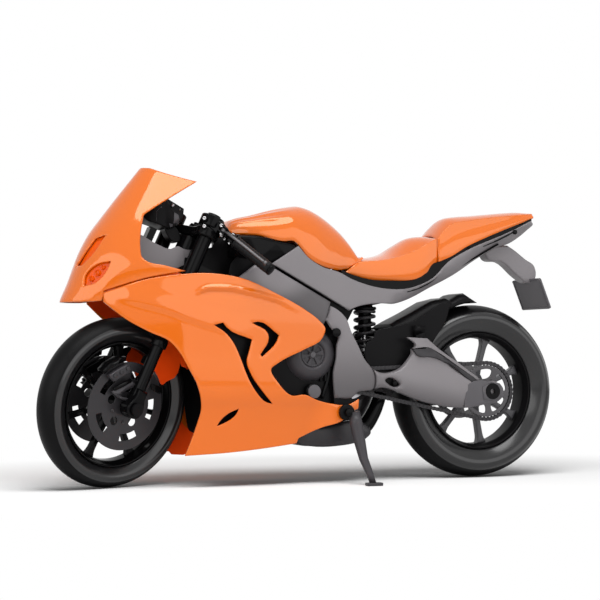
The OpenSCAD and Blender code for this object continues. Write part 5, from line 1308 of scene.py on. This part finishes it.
back_plate = flowing([(204, 92), (178, 104), (160, 96), (128, 84), (112, 76), (112, 62), (130, 58), (140, 50),
                      (170, 60), (204, 72)], 4)
shapes = [sheet(back_plate, [], s * 24.2, s * 23, upright, lip=0.3) for s in (1, -1)]
shapes.append(sheet(head_shield, [], 10.6, 9.4, upright, lip=0.4) + (GREY,))
shapes.append(sheet(tube_shield, [], 10.4, 9.2, upright, lip=0.4))
piece("inner_panels", shapes, BLACK_SATIN, "chassis")

shapes = [sheet(rounded_box(-26, 8, 26, 46, 1.6), [rounded_box(-22, 11, 22, 43, 1)], 213, 206, faced, lip=0.6)]
for i in range(15):
    shapes.append(sheet(rounded_box(-22.4, 12 + 2.1 * i, 22.4, 12.9 + 2.1 * i, 0.3), [], 212.2, 207, faced, lip=0.1))
shapes += [sweep([(209.5, s * 25, 36), (209.5, s * 37.6, 36)], 2.1, 12) for s in (1, -1)]
piece("radiator_core", shapes, BLACK_SATIN, "chassis", ["radiator"])

repaint(BLACK, "steering_head", "nose_stay", "swingarm_bridge")
repaint(BLACK_SATIN, "engine_block", "control_unit", "steering_servo", "servo_horn", "steering_link", "front_axle",
        "rear_axle")
repaint(STEEL, "shock_rod")
repaint(DARK_STEEL, "drive_sprocket")
repaint(BLUE_WRAP, "battery")
repaint(ALLOY, "drive_motor")

# What repeats: chain links and screws, set out by geometry nodes

scatter_tree = bpy.data.node_groups.new("set_out_copies", "GeometryNodeTree")
face = scatter_tree.interface
face.new_socket("Spots", in_out="INPUT", socket_type="NodeSocketGeometry")
face.new_socket("Pattern", in_out="INPUT", socket_type="NodeSocketObject")
face.new_socket("Size", in_out="INPUT", socket_type="NodeSocketFloat")
face.new_socket("Finish", in_out="INPUT", socket_type="NodeSocketMaterial")
face.new_socket("Copies", in_out="OUTPUT", socket_type="NodeSocketGeometry")
g = Graph(scatter_tree)
given = g.add("NodeGroupInput")
facing = g.add("GeometryNodeInputNamedAttribute", {"data_type": "FLOAT_VECTOR"}, {"Name": "facing"})
dots = g.add("GeometryNodeMeshToPoints", None, {"Mesh": given["Spots"]})
shape = g.add("GeometryNodeObjectInfo", None, {"Object": given["Pattern"]})["Geometry"]
copies = g.add("GeometryNodeInstanceOnPoints", None,
               {"Points": dots, "Instance": shape, "Rotation": facing["Attribute"], "Scale": given["Size"]})
real = g.add("GeometryNodeRealizeInstances", None, {"Geometry": copies})
painted = g.add("GeometryNodeSetMaterial", None, {"Geometry": real, "Material": given["Finish"]})
g.add("NodeGroupOutput", None, {"Copies": painted})


def set_out(name, spots, pattern, size, material, body, nodes=()):
    """Copies of a pattern at spots of (place in mm, turning)."""
    mesh = bpy.data.meshes.new(name)
    mesh.from_pydata([tuple(np.asarray(p) * MM) for p, _ in spots], [], [])
    turned = mesh.attributes.new("facing", "FLOAT_VECTOR", "POINT")
    for i, (_, way) in enumerate(spots):
        turned.data[i].vector = way
    made = bpy.data.objects.new(name, mesh)
    bpy.context.scene.collection.objects.link(made)
    nodes_on = made.modifiers.new("copies", "NODES")
    nodes_on.node_group = scatter_tree
    given = {"Pattern": pattern, "Size": size, "Finish": material}
    for item in scatter_tree.interface.items_tree:
        if item.in_out == "INPUT" and item.name in given:
            nodes_on[item.identifier] = given[item.name]
    settle(made, body, nodes)


def pattern_of(name, shapes):
    """Object to copy, which is not itself in the scene."""
    b = bmesh.new()
    for shape in shapes:
        add_shape(b, shape)
    bmesh.ops.remove_doubles(b, verts=b.verts, dist=DOUBLES)
    bmesh.ops.recalc_face_normals(b, faces=b.faces)
    mesh = bpy.data.meshes.new(name)
    b.to_mesh(mesh)
    b.free()
    return bpy.data.objects.new(name, mesh)


hexagon = [polar(0.5, 60 * i) for i in range(6)]
screw = pattern_of("screw_pattern", [sheet(ring(1, steps=12), [hexagon], 0.7, -0.4, straight, lip=0.2),
                                     sheet(hexagon, [], 0.1, -0.4, straight, lip=0)])
eight = flowing([(-2.5, 0), (-1.6, 1.5), (0, 1.1), (1.6, 1.5), (2.5, 0), (1.6, -1.5), (0, -1.1), (-1.6, -1.5)], 2)
link = pattern_of("chain_link_pattern", [sheet(eight, [], 1.25, 0.65, upright, lip=0.15),
                                         sheet(eight, [], -0.65, -1.25, upright, lip=0.15),
                                         knob(0.75, -0.7, 0.7, upright, -1.6, 0, 0.1, 8),
                                         knob(0.75, -0.7, 0.7, upright, 1.6, 0, 0.1, 8)])


def towards(way):
    return tuple(Vector(way).to_track_quat("Z", "Y").to_euler())


# The chain runs over the top to the small sprocket at the pivot, round it, and back underneath
BIG_R, SMALL_R, REACH = 21.22, 7.58, math.hypot(PIVOT_X, PIVOT_Z)
CHAIN_PITCH, CHAIN_Y = 3.175, 22.8
slope, tilt = math.atan2(PIVOT_Z, PIVOT_X), math.asin((BIG_R - SMALL_R) / REACH)
run_length = REACH * math.cos(tilt)
small_arc, big_arc = SMALL_R * (math.pi - 2 * tilt), BIG_R * (math.pi + 2 * tilt)
whole = run_length + small_arc + run_length + big_arc
links = int(round(whole / CHAIN_PITCH))
drive = np.array([PIVOT_X, PIVOT_Z])
chain_spots = []
top_way = slope - tilt
low_way = slope + tilt
for i in range(links):
    s = whole * i / links
    if s < run_length:
        start = np.array([-BIG_R * math.sin(top_way), BIG_R * math.cos(top_way)])
        p, way = start + s * np.array([math.cos(top_way), math.sin(top_way)]), top_way
    elif s < run_length + small_arc:
        a = top_way + math.pi / 2 - (s - run_length) / SMALL_R
        p, way = drive + SMALL_R * np.array([math.cos(a), math.sin(a)]), a - math.pi / 2
    elif s < 2 * run_length + small_arc:
        start = drive + SMALL_R * np.array([math.sin(low_way), -math.cos(low_way)])
        p = start - (s - run_length - small_arc) * np.array([math.cos(low_way), math.sin(low_way)])
        way = low_way + math.pi
    else:
        a = low_way - math.pi / 2 - (s - 2 * run_length - small_arc) / BIG_R
        p, way = BIG_R * np.array([math.cos(a), math.sin(a)]), a - math.pi / 2
    chain_spots.append(((p[0], CHAIN_Y, p[1]), (0, -way, 0)))
set_out("chain_links", chain_spots, link, 1.0, CHARCOAL, "swingarm", ["drive_chain"])

# Bare steel screw heads where the bolts are black: painted glints
set_out("cockpit_screws", [(p, towards(way)) for p, way in glint_screw_spots], screw, 1.3, STEEL, "steering")
disc_bolts = []
for s in (1, -1):
    for a in range(0, 360, 72):
        x, z = polar(11.2, a + 36)
        at = points_in(front_axle, steer_turn, [(x, s * 15, z)])[0]
        disc_bolts.append((at, towards(steer_turn @ np.array([0, s * 1.0, 0]))))
set_out("disc_bolts", disc_bolts, screw, 1.1, DARK_STEEL, "front_wheel_set")
sprocket_bolts = [((x, 23.3, z), towards((0, 1, 0))) for x, z in (polar(9, a + 46) for a in range(0, 360, 72))]
set_out("sprocket_bolts", sprocket_bolts, screw, 1.0, DARK_STEEL, "rear_wheel_set")
